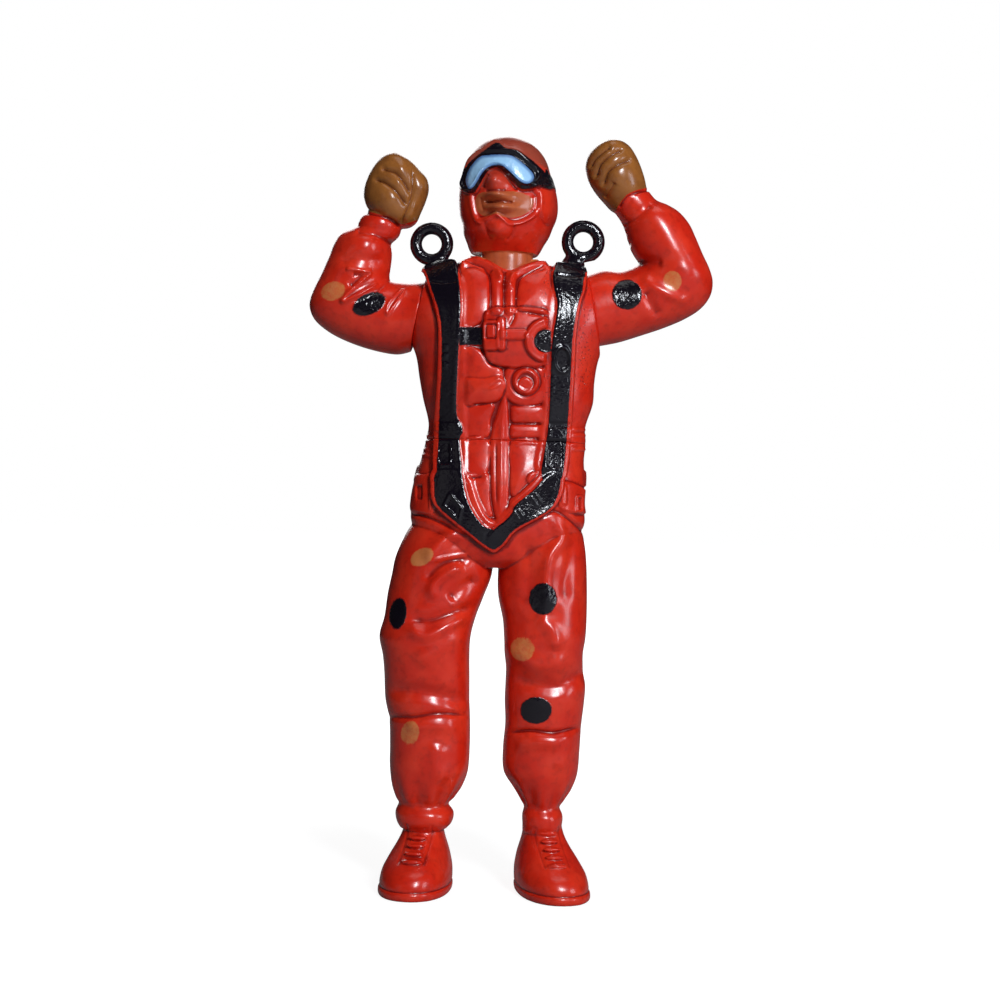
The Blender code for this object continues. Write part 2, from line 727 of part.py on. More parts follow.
def upright_ring(centre, radius, wire_radius):
    """Round ring whose hole faces the front."""
    bpy.ops.mesh.primitive_torus_add(major_segments=RING_STEPS, minor_segments=RING_WIRE_STEPS,
                                     major_radius=radius, minor_radius=wire_radius)
    thing = bpy.context.object
    mesh = thing.data
    shape = bmesh.new()
    shape.from_mesh(mesh)
    bpy.data.objects.remove(thing, do_unlink=True)
    bpy.data.meshes.remove(mesh)
    shape.transform(Matrix.Translation(Vector(centre)) @ Matrix.Rotation(math.pi / 2, 4, "X"))
    return shape


def ball(centre, size, segments=BALL_SEGMENTS):
    shape = bmesh.new()
    bmesh.ops.create_uvsphere(shape, u_segments=segments, v_segments=segments // 2 + 1,
                              radius=1)
    shape.transform(Matrix.Translation(Vector(centre)) @ Matrix.Diagonal((*size, 1)))
    return shape


# Shoulders: side is -1 for the figure's right arm and 1 for its left arm
def shoulder_point(side):
    return Vector((side * SHOULDER_SPREAD, 0, SHOULDER_HEIGHT + side * SHOULDER_RISE))


def shoulder_axis(side):
    return Vector((side * math.cos(SHOULDER_TILT), 0, math.sin(SHOULDER_TILT)))


def trim_sides(shape, inset):
    """Cut a trunk solid flat where the arms meet it."""
    for side in (-1, 1):
        axis = shoulder_axis(side)
        geometry = shape.verts[:] + shape.edges[:] + shape.faces[:]
        cut = bmesh.ops.bisect_plane(shape, geom=geometry, plane_no=axis, clear_outer=True,
                                     plane_co=shoulder_point(side) - axis * inset)
        rim = [item for item in cut["geom_cut"] if isinstance(item, bmesh.types.BMEdge)]
        bmesh.ops.contextual_create(shape, geom=rim)


# Chest: upper trunk with the harness, chest pack, collar and line rings
def make_chest(parts):
    outer = trunk_loft(WAIST_HEIGHT, SHOULDER_TOP, CHEST_ROWS, 0)
    trim_sides(outer, 0)
    chest = mesh_object("chest", outer, parts)
    combine(chest, chest_relief(), "UNION")
    combine(chest, chest_hollows(), "DIFFERENCE")
    return chest


def waist_block(low, high):
    """Slab that trims relief level with the waist seam."""
    return disc(CUTTER_REACH, CUTTER_REACH, (0, 0, low), (0, 0, high))


def chest_hollows():
    """Open inside of the chest, its neck and arm holes, and the notch at the throat."""
    yield waist_block(CROTCH_HEIGHT, WAIST_HEIGHT + GAP / 2)
    yield collar_notch()
    ceiling = SHOULDER_TOP - NECK_SEAT_THICKNESS
    inner = trunk_loft(WAIST_HEIGHT - OVERRUN, ceiling, CHEST_ROWS // 2, WALL)
    trim_sides(inner, WALL)
    yield inner
    yield disc(NECK_RADIUS + GAP, NECK_RADIUS + GAP, (0, 0, ceiling - OVERRUN),
               (0, 0, HOOD_BASE + OVERRUN))
    for side in (-1, 1):
        axis, point = shoulder_axis(side), shoulder_point(side)
        radius = SHOULDER_PLUG_RADIUS + GAP
        yield disc(radius, radius, point - axis * (WALL + OVERRUN), point + axis * OVERRUN)
        clear = SEAM_RADIUS + WALL
        yield disc(clear, clear, point, point + axis * clear)


def chest_relief():
    """Everything that stands proud of the upper trunk."""
    floor_share = (WAIST_HEIGHT - GAP - CROTCH_HEIGHT) / TRUNK_LENGTH
    yield collar_shape()
    for box in (CHEST_PANEL_SHARES, LEFT_CHEST_PANEL_SHARES, POCKET_SHARES, POCKET_FOLD_SHARES):
        yield pad(trunk_front, box, PAD_RAISE)
    for box in ZIP_FLAP_SHARES:
        yield pad(trunk_front, box, FLAP_RAISE)
    for box in ROLL_SHARES:
        yield pad(trunk_front, box, PAD_RAISE + FLAP_RAISE, ROLL_ROWS)
    yield pad(trunk_front, KNOB_BASE_SHARES, FLAP_RAISE)
    yield pad(trunk_front, PACK_SHARES, PACK_RAISE)
    for shares in (RIGHT_LAPEL_SHARES, LEFT_LAPEL_SHARES):
        yield strap(trunk_front, shares, STRAP_HALF_WIDTH / 2, LAPEL_RAISE)
    yield strap(trunk_front, CHEST_STRAP_SHARES, STRAP_HALF_WIDTH, FLAP_RAISE)
    for shares in (UPPER_YOKE_SHARES, LOWER_YOKE_SHARES):
        yield strap(trunk_front, shares, STRAP_HALF_WIDTH / 2, BUCKLE_RAISE)
    yield frame(trunk_front, BUCKLE_FRAME_SHARES, BUCKLE_BAR, BUCKLE_RAISE + FLAP_RAISE)
    x, z = place_on_trunk(KNOB_PLACE_SHARES)
    yield upright_ring((x, trunk_front(x, z) - FLAP_RAISE, z),
                       (KNOB_OUTER_SHARE - KNOB_WIRE_SHARE) * TRUNK_HALF_WIDTH,
                       KNOB_WIRE_SHARE * TRUNK_HALF_WIDTH)
    for shares in (RIGHT_STRAP_SHARES, LEFT_STRAP_SHARES):
        yield strap(trunk_front, clip_above(shares, floor_share), STRAP_HALF_WIDTH, STRAP_RAISE,
                    flare=STRAP_FLARE_SHARE)
    for side in (-1, 1):
        shares = [(side * share[0], share[1]) for share in BACK_STRAP_SHARES]
        yield strap(trunk_back, clip_above(shares, floor_share), STRAP_HALF_WIDTH,
                    STRAP_RAISE, 1, STRAP_FLARE_SHARE)
        yield from line_ring(side)


def clip_above(shares, floor_share):
    """Part of a falling line of shares that lies above a height."""
    kept = [share for share in shares if share[1] > floor_share]
    below = next(share for share in shares if share[1] <= floor_share)
    return kept + [cross_level(kept[-1], below, floor_share)]


def clip_below(shares, ceiling_share):
    kept = [share for share in shares if share[1] < ceiling_share]
    above = [share for share in shares if share[1] >= ceiling_share][-1]
    return [cross_level(above, kept[0], ceiling_share)] + kept


def cross_level(above, below, level):
    part = (above[1] - level) / (above[1] - below[1])
    return (above[0] + (below[0] - above[0]) * part, level)


def collar_shape():
    """Stand-up collar round the neck, a low cone with a sunk root."""
    root = SHOULDER_TOP - NECK_SEAT_THICKNESS / 2
    return disc(NECK_RADIUS + COLLAR_ROOT_WALL, NECK_RADIUS + COLLAR_TOP_WALL, (0, 0, root),
                (0, 0, HOOD_BASE - GAP))


def collar_notch():
    """Wedge that opens the collar in front of the throat."""
    top = HOOD_BASE + OVERRUN
    bottom = CROTCH_HEIGHT + THROAT_SHARE * TRUNK_LENGTH
    rings = []
    for y in (-TRUNK_HALF_DEPTH, -NECK_RADIUS / 2):
        rings.append([(-NECK_RADIUS, y, top), (NECK_RADIUS, y, top), (0, y, bottom)])
    return loft(rings)


def line_ring(side):
    """Standing ring for the canopy lines, and the tab that carries it."""
    height = SHOULDER_TOP + RING_LIFT + side * RING_RISE
    yield upright_ring((side * RING_SPREAD, -RING_FORWARD, height), RING_RADIUS,
                       RING_WIRE_RADIUS)
    rings = []
    for drop, inwards, half_width, half_depth in RING_TAB_SHARES:
        centre = (side * (RING_SPREAD - inwards * RING_RADIUS), -RING_FORWARD)
        depth = half_depth * RING_RADIUS
        rings.append(level_ring(height - drop * RING_RADIUS, centre, half_width * RING_RADIUS,
                                depth, depth, LEG_SQUARENESS, ARM_SEGMENTS))
    yield loft(rings)


# Hips and legs: lower trunk with both legs and shoes
def make_hips_and_legs(parts):
    hips = mesh_object("hips_and_legs", trunk_loft(CROTCH_HEIGHT, WAIST_HEIGHT, HIP_ROWS, 0),
                       parts)
    combine(hips, leg_shapes(), "UNION")
    combine(hips, hip_relief(), "UNION")
    combine(hips, [waist_block(WAIST_HEIGHT - GAP / 2, SHOULDER_HEIGHT)], "DIFFERENCE")
    combine(hips, [spigot_shape()], "UNION")
    combine(hips, hip_hollows(), "DIFFERENCE")
    return hips


def leg_shapes():
    for table, turn in ((RIGHT_LEG_SECTION_SHARES, RIGHT_TOE_OUT),
                        (LEFT_LEG_SECTION_SHARES, LEFT_TOE_OUT)):
        yield leg_loft(table, table[0][0], LEG_ROWS, 0)
        yield shoe_shape(table, turn)
        yield from lace_bars(table, turn)


def hip_hollows():
    yield trunk_loft(CROTCH_HEIGHT + WALL, WAIST_HEIGHT + GAP, HIP_ROWS // 2, spigot_inset())
    yield spigot_bore()
    for table in (RIGHT_LEG_SECTION_SHARES, LEFT_LEG_SECTION_SHARES):
        yield leg_loft(table, LEG_HOLLOW_SHARE, LEG_ROWS // 3, WALL)


def spigot_shape():
    """Oval neck of the hips that plugs into the open waist of the chest."""
    return trunk_loft(WAIST_HEIGHT - SPIGOT_LENGTH, WAIST_HEIGHT + SPIGOT_LENGTH, SPIGOT_ROWS,
                      WALL + GAP)


def spigot_inset():
    return WALL + GAP + SPIGOT_WALL


def spigot_bore():
    return trunk_loft(WAIST_HEIGHT - SPIGOT_LENGTH, WAIST_HEIGHT + SPIGOT_LENGTH + OVERRUN,
                      SPIGOT_ROWS, spigot_inset())


def hip_relief():
    ceiling_share = (WAIST_HEIGHT + GAP - CROTCH_HEIGHT) / TRUNK_LENGTH
    yield pad(body_front, LOWER_ZIP_SHARES, FLAP_RAISE)
    for box in HIP_POUCH_SHARES:
        yield pad(body_front, box, FLAP_RAISE)
    for shares in (RIGHT_LEG_STRAP_SHARES, LEFT_LEG_STRAP_SHARES):
        yield strap(body_front, shares, STRAP_HALF_WIDTH, PAD_RAISE)
    for shares in (RIGHT_STRAP_SHARES, LEFT_STRAP_SHARES):
        yield strap(body_front, clip_below(shares, ceiling_share), STRAP_HALF_WIDTH, STRAP_RAISE)
    for box in STRAP_BUCKLE_SHARES:
        yield frame(body_front, box, BUCKLE_BAR, BUCKLE_RAISE)
    for side in (-1, 1):
        shares = [(side * share[0], share[1]) for share in BACK_STRAP_SHARES]
        yield strap(body_back, clip_below(shares, ceiling_share), STRAP_HALF_WIDTH,
                    STRAP_RAISE, 1)
        shares = [(side * share[0], share[1]) for share in BACK_LEG_STRAP_SHARES]
        yield strap(body_back, shares, STRAP_HALF_WIDTH, PAD_RAISE, 1)
    yield strap(body_back, BACK_BELT_SHARES, STRAP_HALF_WIDTH, FLAP_RAISE, 1)


def shoe_place(table, turn):
    x, y, half_width, half_depth = leg_section(table, SHOE_HEIGHT)
    return Matrix.Translation((x, y, 0)) @ Matrix.Rotation(turn, 4, "Z")


def shoe_shape(table, turn):
    """Laced boot lofted upwards from its flat sole."""
    rings = []
    for height, half_width, heel, toe in SHOE_SECTION_SHARES:
        middle = SHOE_LENGTH * (heel - toe) / 2
        reach = SHOE_LENGTH * (heel + toe) / 2
        rings.append(level_ring(height * SHOE_HEIGHT, (0, middle), half_width * SHOE_HALF_WIDTH,
                                reach, reach, LEG_SQUARENESS, LEG_SEGMENTS))
    shape = loft(rings)
    shape.transform(shoe_place(table, turn))
    return shape


def lace_bars(table, turn):
    """Row of bars down the instep."""
    for index in range(LACE_COUNT):
        part = index / (LACE_COUNT - 1)
        forward = LACE_TOP_SHARES[0] + (LACE_BOTTOM_SHARES[0] - LACE_TOP_SHARES[0]) * part
        height = LACE_TOP_SHARES[1] + (LACE_BOTTOM_SHARES[1] - LACE_TOP_SHARES[1]) * part
        y, z = -forward * SHOE_LENGTH, height * SHOE_HEIGHT
        shape = ball((0, y, z), (LACE_HALF_WIDTH, LACE_RADIUS * 2, LACE_RADIUS), LACE_SEGMENTS)
        shape.transform(shoe_place(table, turn))
        yield shape


# Arms
def arm_place(side, out, up, forward):
    point = shoulder_point(side)
    return point + Vector((side * out * ARM_LENGTH, -forward * ARM_LENGTH, up * ARM_LENGTH))


def arm_loft(side, table, girth=1, first=0, last=None):
    """Sweep of oval sections square to the arm's own centre line."""
    rows = smooth_path(table[first:last], PATH_STEPS)
    centres = [arm_place(side, *row[:3]) for row in rows]
    rings = []
    for index, row in enumerate(rows):
        before, after = centres[max(index - 1, 0)], centres[min(index + 1, len(rows) - 1)]
        along = (after - before).normalized()
        if index == 0 and not first:
            along = shoulder_axis(side)
        across = Vector((0, 1, 0)).cross(along).normalized()
        depth = along.cross(across)
        ring = []
        for step in range(ARM_SEGMENTS):
            u, v = oval(2 * math.pi * (step + 0.5) / ARM_SEGMENTS, LEG_SQUARENESS)
            ring.append(centres[index] + across * u * row[3] * SEAM_RADIUS * girth
                        + depth * v * row[4] * SEAM_RADIUS * girth)
        rings.append(ring)
    return loft(rings)


def finger_shape(side, up):
    """Finger bent round the front of the palm, from its knuckle to its tip."""
    bend = FINGER_BEND_SHARE * FIST_HALF_WIDTH
    rings = []
    for step in range(FINGER_STEPS + 1):
        angle = FINGER_START + (FINGER_END - FINGER_START) * step / FINGER_STEPS
        out = Vector((side * math.cos(angle), -math.sin(angle), 0))
        radius = FINGER_THICKNESS_SHARE * FIST_HALF_WIDTH
        if step in (0, FINGER_STEPS):
            radius *= FINGER_END_SHARE
        ring = []
        for index in range(FINGER_SEGMENTS):
            around = 2 * math.pi * index / FINGER_SEGMENTS
            ring.append(out * (bend + radius * math.cos(around))
                        + Vector((0, 0, up + radius * math.sin(around))))
        rings.append(ring)
    return loft(rings)


def fist_shapes(side, place_shares, lean):
    """Palm with four bent fingers across its front, and a thumb on the inner side."""
    centre = arm_place(side, *place_shares)
    turn = Matrix.Translation(centre) @ Matrix.Rotation(side * lean, 4, "Y")
    size = FIST_HALF_WIDTH
    palm = ball((0, 0, 0), [share * size for share in PALM_SIZE_SHARES])
    palm.transform(turn)
    yield palm
    for index in range(FINGER_COUNT):
        up = (index - (FINGER_COUNT - 1) / 2) * FINGER_PITCH_SHARE * size
        finger = finger_shape(side, up)
        finger.transform(turn)
        yield finger
    thumb = ball([side * THUMB_PLACE_SHARES[0] * size, THUMB_PLACE_SHARES[1] * size,
                  THUMB_PLACE_SHARES[2] * size], [share * size for share in THUMB_SIZE_SHARES])
    thumb.transform(turn)
    yield thumb


def make_arm(name, side, table, fist_place, fist_lean, parts):
    arm = mesh_object(name, arm_loft(side, table), parts)
    combine(arm, fist_shapes(side, fist_place, fist_lean), "UNION")
    axis, point = shoulder_axis(side), shoulder_point(side)
    trim = disc(CUTTER_REACH, CUTTER_REACH, point + axis * GAP, point - axis * CUTTER_REACH)
    combine(arm, [trim], "DIFFERENCE")
    flange_face = point - axis * (WALL + GAP)
    flange_end = flange_face - axis * FLANGE_THICKNESS
    plug = disc(SHOULDER_PLUG_RADIUS, SHOULDER_PLUG_RADIUS, point + axis * WALL,
                flange_end + axis * FLANGE_THICKNESS / 2)
    flange = disc(SHOULDER_FLANGE_RADIUS, SHOULDER_PLUG_RADIUS, flange_face, flange_end)
    combine(arm, [plug, flange], "UNION")
    bore_radius = SHOULDER_PLUG_RADIUS - SHOULDER_PLUG_WALL
    bore = disc(bore_radius, bore_radius, point + axis * (ARM_LENGTH * table[2][0]),
                flange_end - axis * OVERRUN)
    combine(arm, [arm_loft(side, table, ARM_HOLLOW_SHARE, 1, -3), bore], "DIFFERENCE")
    return arm


# Head: hood, goggles and face, with the bare neck that plugs into the chest
def head_section(height):
    half_width, front, back = read_table(HEAD_SECTION_SHARES, (height - HOOD_BASE) / HEAD_LENGTH)
    return tuple(share * HEAD_HALF_WIDTH for share in (half_width, front, back))


def head_loft(low, high, rows, inset):
    rings = []
    for height in spread(low, high, rows):
        half_width, front, back = head_section(height)
        rings.append(level_ring(height, (0, 0), half_width - inset, front - inset,
                                back - inset, HEAD_SQUARENESS, HEAD_SEGMENTS))
    return loft(rings)


def head_front(x, z):
    half_width, front, back = head_section(z)
    reach = oval_reach(x, half_width, front, HEAD_SQUARENESS)
    return 0 if reach is None else -reach


def place_on_head(across, up):
    return (across * HEAD_HALF_WIDTH, HOOD_BASE + up * HEAD_LENGTH)


def goggle_plate(rise, inset):
    """Curved plate between the goggles' upper and lower edges."""
    tops = smooth_path(GOGGLE_TOP_SHARES, 2)
    bottoms = smooth_path(GOGGLE_BOTTOM_SHARES, 2)
    rings = []
    span = len(tops) - 1
    for index, (high, low) in enumerate(zip(tops, bottoms)):
        shrink = inset * (1 - 2 * index / span)
        margin = inset / 2
        x_high, z_high = place_on_head(high[0] + shrink, high[1] - margin)
        x_low, z_low = place_on_head(low[0] + shrink, low[1] + margin)
        ring = []
        for part in GOGGLE_SPAN_SHARES:
            x, z = x_low + (x_high - x_low) * part, z_low + (z_high - z_low) * part
            lift = rise if 0 < part < 1 and 0 < index < span else rise / 2
            ring.append((x, head_front(x, z) - lift, z))
        ring.append((x_high, head_front(x_high, z_high) + RELIEF_SINK, z_high))
        ring.append((x_low, head_front(x_low, z_low) + RELIEF_SINK, z_low))
        rings.append(ring)
    return loft(rings)


def goggle_strap():
    """Band of the goggles round the sides and back of the hood."""
    low, high = (place_on_head(0, share)[1] for share in GOGGLE_STRAP_SHARES)
    rings = []
    for height, lift in ((low, FLAP_RAISE / 2), (low + FLAP_RAISE, FLAP_RAISE),
                         (high - FLAP_RAISE, FLAP_RAISE), (high, FLAP_RAISE / 2)):
        half_width, front, back = head_section(height)
        rings.append(level_ring(height, (0, 0), half_width + lift, front - RELIEF_SINK,
                                back + lift, HEAD_SQUARENESS, HEAD_SEGMENTS))
    return loft(rings)


def on_face(across, up, out):
    x, z = place_on_head(across, up)
    return (x, head_front(x, z) + out, z)


def face_features():
    yield goggle_strap()
    yield ball(on_face(*NOSE_PLACE_SHARES, 0), NOSE_SIZE)
    for share in LIP_PLACE_SHARES:
        yield ball(on_face(0, share, 2 * FACE_RECESS), LIP_SIZE)
    yield ball(on_face(0, CHIN_PLACE_SHARE, FACE_RECESS), CHIN_SIZE)
    for side in (-1, 1):
        x, z = place_on_head(side * CHEEK_PLACE_SHARES[0], CHEEK_PLACE_SHARES[1])
        yield ball((x, 0, z), CHEEK_SIZE)
    yield goggle_plate(GOGGLE_RAISE, 0)
    yield goggle_plate(GOGGLE_RAISE + FLAP_RAISE, LENS_INSET_SHARE)


def face_opening():
    """Shallow recess between the hood's cheeks, following the face."""
    points = [place_on_head(*shares) for shares in FACE_OPENING_SHARES]
    rings = []
    for out in (FACE_RECESS, -OVERRUN):
        rings.append([(x, head_front(x, z) + out, z) for x, z in points])
    return loft(rings)


def make_head(parts):
    head = mesh_object("head", head_loft(HOOD_BASE, HEAD_TOP, HEAD_ROWS, 0), parts)
    combine(head, [face_opening()], "DIFFERENCE")
    flange_top = SHOULDER_TOP - NECK_SEAT_THICKNESS - GAP
    flange_end = flange_top - FLANGE_THICKNESS
    neck = disc(NECK_RADIUS, NECK_RADIUS, (0, 0, flange_top - FLANGE_THICKNESS / 2),
                (0, 0, HOOD_BASE + WALL))
    flange = disc(NECK_RADIUS, NECK_FLANGE_RADIUS, (0, 0, flange_end), (0, 0, flange_top))
    combine(head, [*face_features(), neck, flange], "UNION")
    hollow = head_loft(HOOD_BASE + WALL, HEAD_TOP - HEAD_WALL, HEAD_ROWS // 2, HEAD_WALL)
    bore = disc(NECK_RADIUS - WALL, NECK_RADIUS - WALL, (0, 0, flange_end - OVERRUN),
                (0, 0, HOOD_BASE + WALL + HEAD_WALL))
    combine(head, [hollow, bore], "DIFFERENCE")
    return head


def centre_on_base(things):
    """Stand the figure over the world's origin."""
    corners = [thing.matrix_world @ vertex.co for thing in things for vertex in
               thing.data.vertices]
    shift = Vector((0, 0, 0))
    for axis in range(2):
        values = [corner[axis] for corner in corners]
        shift[axis] = -(min(values) + max(values)) / 2
    for thing in things:
        thing.matrix_world = Matrix.Translation(shift) @ thing.matrix_world


def make_figure():
    clear_scene()
    parts = new_collection("toy_parachutist")
    chest = make_chest(parts)
    hips = make_hips_and_legs(parts)
    right_arm = make_arm("right_arm", -1, RIGHT_ARM_SECTION_SHARES, RIGHT_FIST_SHARES,
                         RIGHT_FIST_LEAN, parts)
    left_arm = make_arm("left_arm", 1, LEFT_ARM_SECTION_SHARES, LEFT_FIST_SHARES,
                        LEFT_FIST_LEAN, parts)
    head = make_head(parts)
    finish(chest, (0, 0, WAIST_HEIGHT))
    finish(hips, (0, 0, WAIST_HEIGHT))
    finish(right_arm, shoulder_point(-1))
    finish(left_arm, shoulder_point(1))
    finish(head, (0, 0, HOOD_BASE), Matrix.Rotation(HEAD_TURN, 4, "Z"))
    bpy.context.view_layer.update()
    centre_on_base((chest, hips, right_arm, left_arm, head))


make_figure()
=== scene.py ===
import json
import math

import bmesh
import bpy
import numpy as np
from mathutils import Matrix, Vector


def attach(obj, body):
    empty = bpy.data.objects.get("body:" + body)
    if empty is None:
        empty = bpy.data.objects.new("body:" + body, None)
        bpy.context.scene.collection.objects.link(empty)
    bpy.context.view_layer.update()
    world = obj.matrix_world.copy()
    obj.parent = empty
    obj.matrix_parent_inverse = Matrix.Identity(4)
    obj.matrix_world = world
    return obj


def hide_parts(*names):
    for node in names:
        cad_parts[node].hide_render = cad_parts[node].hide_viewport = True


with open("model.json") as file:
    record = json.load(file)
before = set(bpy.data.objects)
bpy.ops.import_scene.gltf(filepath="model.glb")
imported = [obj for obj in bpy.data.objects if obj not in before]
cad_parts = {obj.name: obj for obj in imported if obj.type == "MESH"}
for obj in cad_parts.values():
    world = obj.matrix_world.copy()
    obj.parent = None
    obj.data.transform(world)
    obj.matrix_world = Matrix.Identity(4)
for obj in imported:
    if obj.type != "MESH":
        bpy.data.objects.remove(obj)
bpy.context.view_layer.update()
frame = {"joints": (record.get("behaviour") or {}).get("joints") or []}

# The figure is modelled in millimetres over the axis of its neck, then set down in metres.
MILLIMETRE = 0.001
NECK = next(joint for joint in frame["joints"] if joint["name"] == "neck_turn")["pos_m"]

# Sides: -1 is the figure's right and 1 its left
SIDES = (-1, 1)

# Meshes
WELD = 0.0005
BODY_VOXEL = 0.20
ARM_VOXEL = 0.18
HEAD_VOXEL = 0.15
MOST_TRIANGLES = 190000

# Heights
CROTCH = 59.7
WAIST = 82.9
SHOULDER = 106.5
NECK_BASE = 108.6
NECK_TOP = 119.5
THROAT_BASE = 113.9
SHOULDER_TOP = 115.4
HOOD_BASE = 117.5
COLLAR_TOP = HOOD_BASE - 0.9
GOGGLE_STRAP = 131.0
HEAD_LENGTH = 21.7
TRUNK_LENGTH = SHOULDER_TOP - CROTCH

# Widths and radii
TRUNK_HALF_WIDTH = 16.0
TRUNK_HALF_DEPTH = 9.5
LEG_HALF_WIDTH = 8.5
HEAD_HALF_WIDTH = 9.2
SHOULDER_SPREAD = 16.0
SHOULDER_RISE = 1.0
SHOULDER_TILT = math.radians(11.5)
SEAM_RADIUS = 6.6
SEAM_REACH = SEAM_RADIUS * 1.4
SEAM_GAP = 0.03
NECK_RADIUS = 4.8
HEAD_TURN = math.radians(-13)
GOGGLE_STRAP_HALF_WIDTH = 1.35
BACK_STRAP_HALF_WIDTH = 1.75
BACK_BELT_HALF_WIDTH = 1.5
THROAT_SPREAD = 2.5
RELIEF_STRENGTH = 1.35

# Shoes
SHOE_LENGTH = 23.2
SHOE_HALF_WIDTH = 6.6
SHOE_HEIGHT = 13.0
SHOE_FLARE = 0.05

# Line rings
RING_SPREAD = 13.95
RING_HEIGHT = 119.5
RING_RISE = 0.6
RING_FORWARD = 1.2
RING_RADIUS = 2.9
RING_WIRE = 1.12

# Tab under each ring, in ring radii: how far down and inwards from the ring's centre, then
# half-width and half-depth
RING_TAB_SECTIONS = ((2.60, 1.02, 0.74, 0.90), (1.90, 0.82, 0.78, 0.80),
                     (1.35, 0.58, 0.80, 0.56), (0.85, 0.30, 0.76, 0.38))

# Paint, in millimetres inside its edge: none, a thin coat on the suit and on the arms, and how
# far black reaches round the rings, over the shoulders' tops and beside the straps of the back
NOT_PAINTED = -5.0
SUIT_THIN_COAT = 0.06
ARM_THIN_COAT = 0.05
RING_PAINT_RADIUS = 4.9
TOP_PAINT_SPREAD = 11.5
TOP_PAINT_HALF_WIDTH = 2.8
TOP_PAINT_BASE = 112.9
BACK_PAINT_HALF_WIDTH = 1.95
NECK_PAINT_BASE = 115.7
NECK_PAINT_RADIUS = 7.6

# Front sheet: a square of 1000 steps seen from straight ahead, x to the right and y down.
# A step is shorter for the spots, whose paint has softer edges.
SHEET_MIDDLE = 500
SHEET_STEP = 0.185
SPOT_STEP = 0.12
SHEET_LEAN = math.radians(1.65)
EYE_HEIGHT = 72.1
EYE_DISTANCE = 330.0

# Height above the crotch in shares of the trunk, then centre, half-width, front and back
TRUNK_SECTIONS = (
    (0.00, -0.04, 0.45, 0.55, 0.55), (0.03, -0.03, 0.66, 0.80, 0.82),
    (0.08, -0.03, 0.88, 0.92, 1.00), (0.15, -0.02, 1.00, 0.98, 1.12),
    (0.22, -0.03, 0.99, 0.98, 1.12), (0.30, 0.00, 0.97, 0.96, 1.00),
    (0.36, 0.02, 0.935, 0.91, 0.90), (0.42, 0.05, 0.92, 0.88, 0.86),
    (0.47, 0.055, 0.905, 0.89, 0.87), (0.55, 0.06, 0.98, 0.95, 0.94),
    (0.62, 0.04, 1.01, 1.00, 1.00), (0.69, 0.035, 1.05, 1.05, 1.05),
    (0.75, 0.03, 1.13, 1.08, 1.08), (0.83, 0.03, 1.25, 1.06, 1.07),
    (0.90, 0.03, 1.23, 0.96, 0.98), (0.945, 0.02, 1.10, 0.84, 0.86),
    (0.975, 0.01, 0.92, 0.74, 0.76), (0.99, 0.00, 0.76, 0.70, 0.70),
    (1.00, -0.04, 0.58, 0.68, 0.68), (1.012, -0.06, 0.47, 0.69, 0.70),
    (1.022, -0.06, 0.41, 0.62, 0.66),
)

# Height in shares of the crotch height, then centre, half-width, half-depth and set-back
RIGHT_LEG_SECTIONS = (
    (0.185, -0.78, 0.50, 0.50, 0.10), (0.205, -0.77, 0.60, 0.64, 0.10),
    (0.235, -0.77, 0.635, 0.66, 0.10), (0.262, -0.785, 0.54, 0.57, 0.10),
    (0.285, -0.775, 0.62, 0.66, 0.10), (0.32, -0.755, 0.745, 0.78, 0.10),
    (0.37, -0.735, 0.85, 0.86, 0.10), (0.44, -0.73, 0.87, 0.88, 0.10),
    (0.52, -0.74, 0.88, 0.86, 0.06), (0.59, -0.775, 0.92, 0.88, 0.02),
    (0.66, -0.785, 0.925, 0.89, -0.04), (0.72, -0.80, 0.94, 0.92, -0.08),
    (0.78, -0.82, 0.985, 0.93, -0.10), (0.84, -0.77, 0.985, 0.95, -0.06),
    (0.91, -0.71, 1.045, 0.99, 0.00), (0.97, -0.65, 1.08, 1.02, 0.02),
    (1.02, -0.625, 1.065, 1.03, 0.03), (1.07, -0.60, 0.98, 0.98, 0.03),
    (1.12, -0.575, 0.84, 0.86, 0.03), (1.17, -0.55, 0.60, 0.65, 0.03),
)
LEFT_LEG_SECTIONS = (
    (0.185, 0.58, 0.40, 0.46, 0.10), (0.205, 0.595, 0.43, 0.56, 0.10),
    (0.235, 0.595, 0.44, 0.58, 0.10), (0.262, 0.585, 0.385, 0.50, 0.10),
    (0.285, 0.59, 0.445, 0.58, 0.10), (0.32, 0.59, 0.60, 0.70, 0.10),
    (0.37, 0.56, 0.80, 0.82, 0.10), (0.44, 0.56, 0.835, 0.85, 0.10),
    (0.52, 0.575, 0.83, 0.85, 0.08), (0.59, 0.58, 0.865, 0.86, 0.04),
    (0.645, 0.585, 0.87, 0.86, 0.00), (0.69, 0.57, 0.84, 0.86, -0.04),
    (0.74, 0.555, 0.85, 0.90, -0.09), (0.79, 0.56, 0.885, 0.92, -0.10),
    (0.84, 0.555, 0.91, 0.94, -0.06), (0.91, 0.525, 0.965, 0.98, 0.00),
    (0.97, 0.515, 0.97, 1.00, 0.02), (1.02, 0.515, 0.95, 1.01, 0.03),
    (1.07, 0.52, 0.90, 0.96, 0.03), (1.12, 0.53, 0.80, 0.86, 0.03),
    (1.17, 0.545, 0.62, 0.68, 0.03),
)
LEG_FOOT, ANKLE, CUFF, LEG_TOP = 0.185, 0.205, 0.30, 1.17

# Each leg: its table, the turn of its shoe and how far its sole stands out from the ankle
LEGS = ((RIGHT_LEG_SECTIONS, math.radians(-8), -0.8), (LEFT_LEG_SECTIONS, math.radians(12), 1.5))

